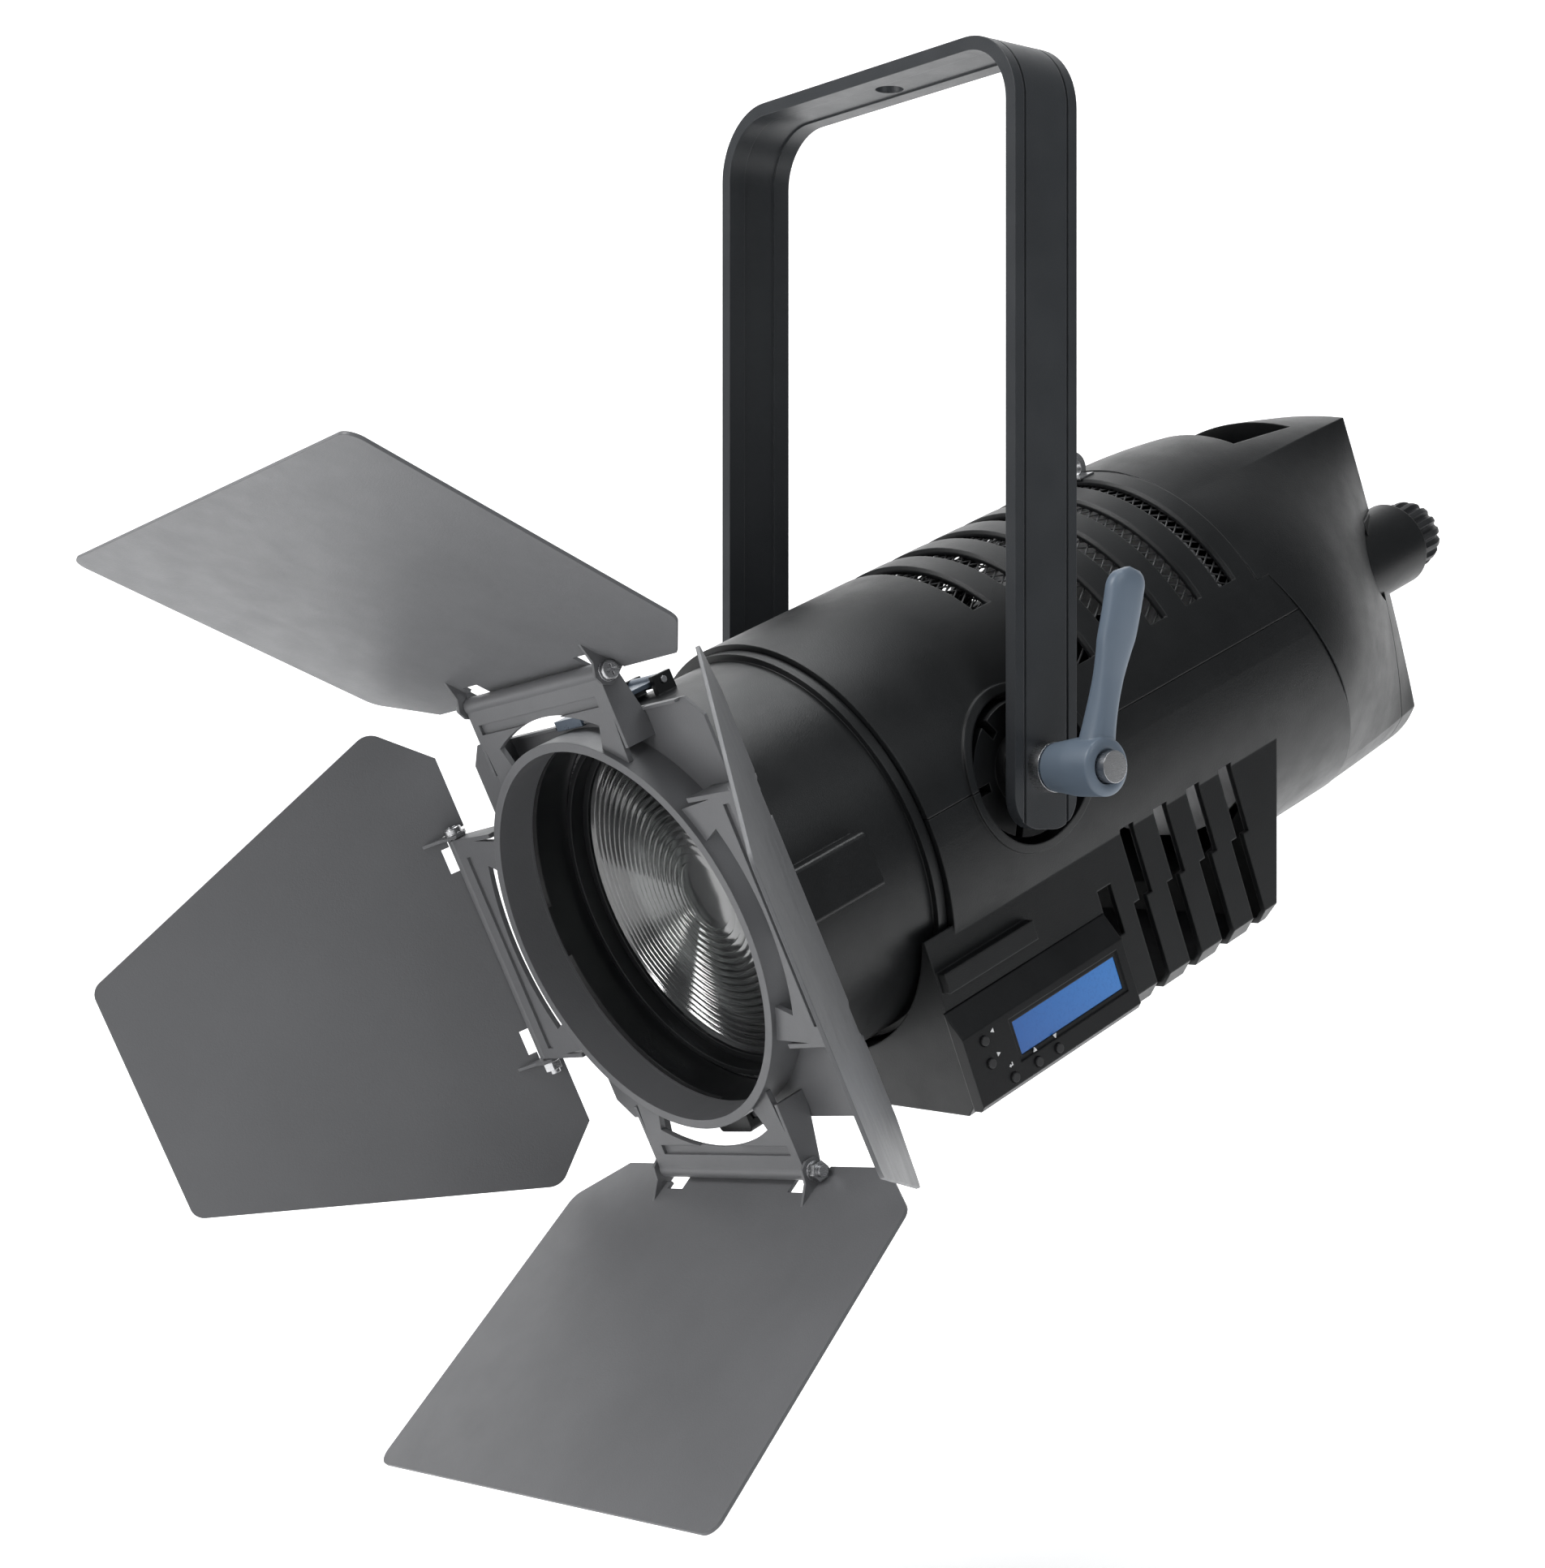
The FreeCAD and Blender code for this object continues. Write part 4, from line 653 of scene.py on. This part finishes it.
VIEW_AZIMUTH = math.radians(52.05)
CAMERA_FROM_PIVOT = Vector((0.93017, -0.79308, -0.00714))
CAMERA_LENS, CAMERA_SENSOR = 61.44, 36.0
FLOOR_BELOW = 0.05          # the light hangs this far above the floor
SWEEP_NEAR, SWEEP_RUN, SWEEP_BEND, SWEEP_TOP, SWEEP_HALF = -4.0, 3.0, 1.6, 7.0, 7.0
GLOW_FROM, GLOW_TO = -0.7, 0.5  # where the sweep starts and ends to light up, behind the pivot

# name, place (away from the camera, to its right, up), size, watts, colour
LAMPS = (
    ("key_softbox", (-0.7, -1.6, 1.5), (1.0, 1.0), 30.0, (1.0, 1.0, 1.0)),
    ("top_softbox", (0.4, -0.3, 2.0), (0.7, 2.0), 27.0, (0.97, 0.99, 1.0)),
    ("side_softbox", (-1.5, 1.2, 1.3), (0.8, 0.8), 9.0, (0.95, 0.98, 1.0)),
    ("lens_strip", (-1.6, -1.3, -0.1), (0.25, 0.9), 8.0, (1.0, 1.0, 1.0)),
)


def make_stage():
    """A pale sweep behind and under the light, soft lamps, and the camera."""
    scene = bpy.context.scene
    scene.view_settings.view_transform = "Standard"
    pivot = Vector(JOINTS["head_tilt"]["pos_m"])
    away = Vector((-math.sin(VIEW_AZIMUTH), math.cos(VIEW_AZIMUTH), 0))
    aside = Vector((math.cos(VIEW_AZIMUTH), math.sin(VIEW_AZIMUTH), 0))
    t = np.linspace(0, math.pi / 2, 24)
    along = np.concatenate([[SWEEP_NEAR], SWEEP_RUN + SWEEP_BEND * np.sin(t),
                            [SWEEP_RUN + SWEEP_BEND]])
    up = np.concatenate([[0.0], SWEEP_BEND * (1 - np.cos(t)), [SWEEP_TOP]])
    across = np.array([-SWEEP_HALF, SWEEP_HALF])
    base = np.array([pivot.x, pivot.y, CAD_BOX[0][2] - FLOOR_BELOW])
    points = (base + along[:, None, None] * np.array(away)
              + up[:, None, None] * np.array((0, 0, 1))
              + across[None, :, None] * np.array(aside))
    mesh = bpy.data.meshes.new("sweep")
    mesh.from_pydata(points.reshape(-1, 3).tolist(), [],
                     grid_faces(len(along), 2, False).tolist())
    mesh.shade_smooth()
    sweep = bpy.data.objects.new("sweep", mesh)
    scene.collection.objects.link(sweep)
    g = Graph("sweep_paper")
    at = g.place()
    tone = g.mix(g.noise(at, 1.5), (0.88, 0.88, 0.88, 1.0), (0.91, 0.91, 0.91, 1.0))
    behind = g.node("VectorMath", {"operation": "DOT_PRODUCT"}, {0: at, 1: away}, 1)
    glow = g.mix(behind.between(GLOW_FROM, GLOW_TO), grey(0.05), grey(1.0))
    mesh.materials.append(g.surface({"Base Color": tone, "Roughness": 0.9, "Emission Color": glow,
                                     "Emission Strength": 0.85}))
    world = bpy.data.worlds.new("studio")
    world.use_nodes = True
    sky = world.node_tree.nodes["Background"]
    sky.inputs["Color"].default_value = (0.94, 0.97, 1.0, 1.0)
    sky.inputs["Strength"].default_value = 0.20
    scene.world = world
    for name, where, size, power, colour in LAMPS:
        lamp = bpy.data.lights.new(name, "AREA")
        lamp.shape = "RECTANGLE"
        lamp.size, lamp.size_y = size
        lamp.energy = power
        lamp.color = colour
        light = bpy.data.objects.new(name, lamp)
        spot = pivot + away * where[0] + aside * where[1] + Vector((0, 0, where[2]))
        aim = pivot - spot
        turn = aim.to_track_quat("-Z", "Y").to_matrix().to_4x4()
        light.matrix_world = Matrix.Translation(spot) @ turn
        scene.collection.objects.link(light)
    camera_data = bpy.data.cameras.new("camera")
    camera_data.lens = CAMERA_LENS
    camera_data.sensor_width = CAMERA_SENSOR
    camera_data.clip_start = 0.05
    camera = bpy.data.objects.new("camera", camera_data)
    camera.location = pivot + CAMERA_FROM_PIVOT
    camera.rotation_euler = (math.pi / 2, 0, VIEW_AZIMUTH)
    scene.collection.objects.link(camera)
    scene.camera = camera


# ---------------------------------------------------------------- operators

MATERIALS = {}


class SPOTLIGHT_OT_finishes(bpy.types.Operator):
    """Make the materials and give every CAD piece its finish"""
    bl_idname = "spotlight.finishes"
    bl_label = "Finishes"

    def execute(self, context):
        MATERIALS.update(all_materials())
        finish_frame(MATERIALS)
        return {"FINISHED"}


class SPOTLIGHT_OT_lens(bpy.types.Operator):
    """Make the stepped lens"""
    bl_idname = "spotlight.lens"
    bl_label = "Lens"

    def execute(self, context):
        make_lens(MATERIALS)
        return {"FINISHED"}


class SPOTLIGHT_OT_knob(bpy.types.Operator):
    """Make the ribbed focus knob"""
    bl_idname = "spotlight.knob"
    bl_label = "Focus knob"

    def execute(self, context):
        make_knob(MATERIALS)
        return {"FINISHED"}


class SPOTLIGHT_OT_lever(bpy.types.Operator):
    """Make the cast clamp lever"""
    bl_idname = "spotlight.lever"
    bl_label = "Clamp lever"

    def execute(self, context):
        make_lever(MATERIALS)
        return {"FINISHED"}


class SPOTLIGHT_OT_vent_mesh(bpy.types.Operator):
    """Make the expanded mesh behind the vents"""
    bl_idname = "spotlight.vent_mesh"
    bl_label = "Vent mesh"

    def execute(self, context):
        make_vent_mesh(MATERIALS)
        return {"FINISHED"}


class SPOTLIGHT_OT_panel_marks(bpy.types.Operator):
    """Print the marks beside the buttons"""
    bl_idname = "spotlight.panel_marks"
    bl_label = "Panel marks"

    def execute(self, context):
        make_panel_marks(MATERIALS)
        return {"FINISHED"}


class SPOTLIGHT_OT_stage(bpy.types.Operator):
    """Set up the floor, lights and camera"""
    bl_idname = "spotlight.stage"
    bl_label = "Stage"

    def execute(self, context):
        make_stage()
        return {"FINISHED"}


OPERATORS = (SPOTLIGHT_OT_finishes, SPOTLIGHT_OT_lens, SPOTLIGHT_OT_knob, SPOTLIGHT_OT_lever,
             SPOTLIGHT_OT_vent_mesh, SPOTLIGHT_OT_panel_marks, SPOTLIGHT_OT_stage)


class SPOTLIGHT_PT_panel(bpy.types.Panel):
    """Lists the spotlight's pieces in the sidebar"""
    bl_idname = "SPOTLIGHT_PT_panel"
    bl_label = "Spotlight"
    bl_space_type = "VIEW_3D"
    bl_region_type = "UI"
    bl_category = "Spotlight"

    def draw(self, context):
        for group in (context.scene.spotlight_colours, context.scene.spotlight_sizes):
            for name in group.bl_rna.properties.keys():
                if name not in ("rna_type", "name"):
                    self.layout.prop(group, name)
        for operator in OPERATORS:
            self.layout.operator(operator.bl_idname)


CLASSES = (SpotlightColours, SpotlightSizes) + OPERATORS + (SPOTLIGHT_PT_panel,)


def register():
    for cls in CLASSES:
        bpy.utils.register_class(cls)
    bpy.types.Scene.spotlight_colours = bpy.props.PointerProperty(type=SpotlightColours)
    bpy.types.Scene.spotlight_sizes = bpy.props.PointerProperty(type=SpotlightSizes)


def unregister():
    del bpy.types.Scene.spotlight_sizes
    del bpy.types.Scene.spotlight_colours
    for cls in reversed(CLASSES):
        bpy.utils.unregister_class(cls)


def main():
    register()
    for operator in OPERATORS:
        group, name = operator.bl_idname.split(".")
        getattr(getattr(bpy.ops, group), name)()


if __name__ == "__main__":
    main()
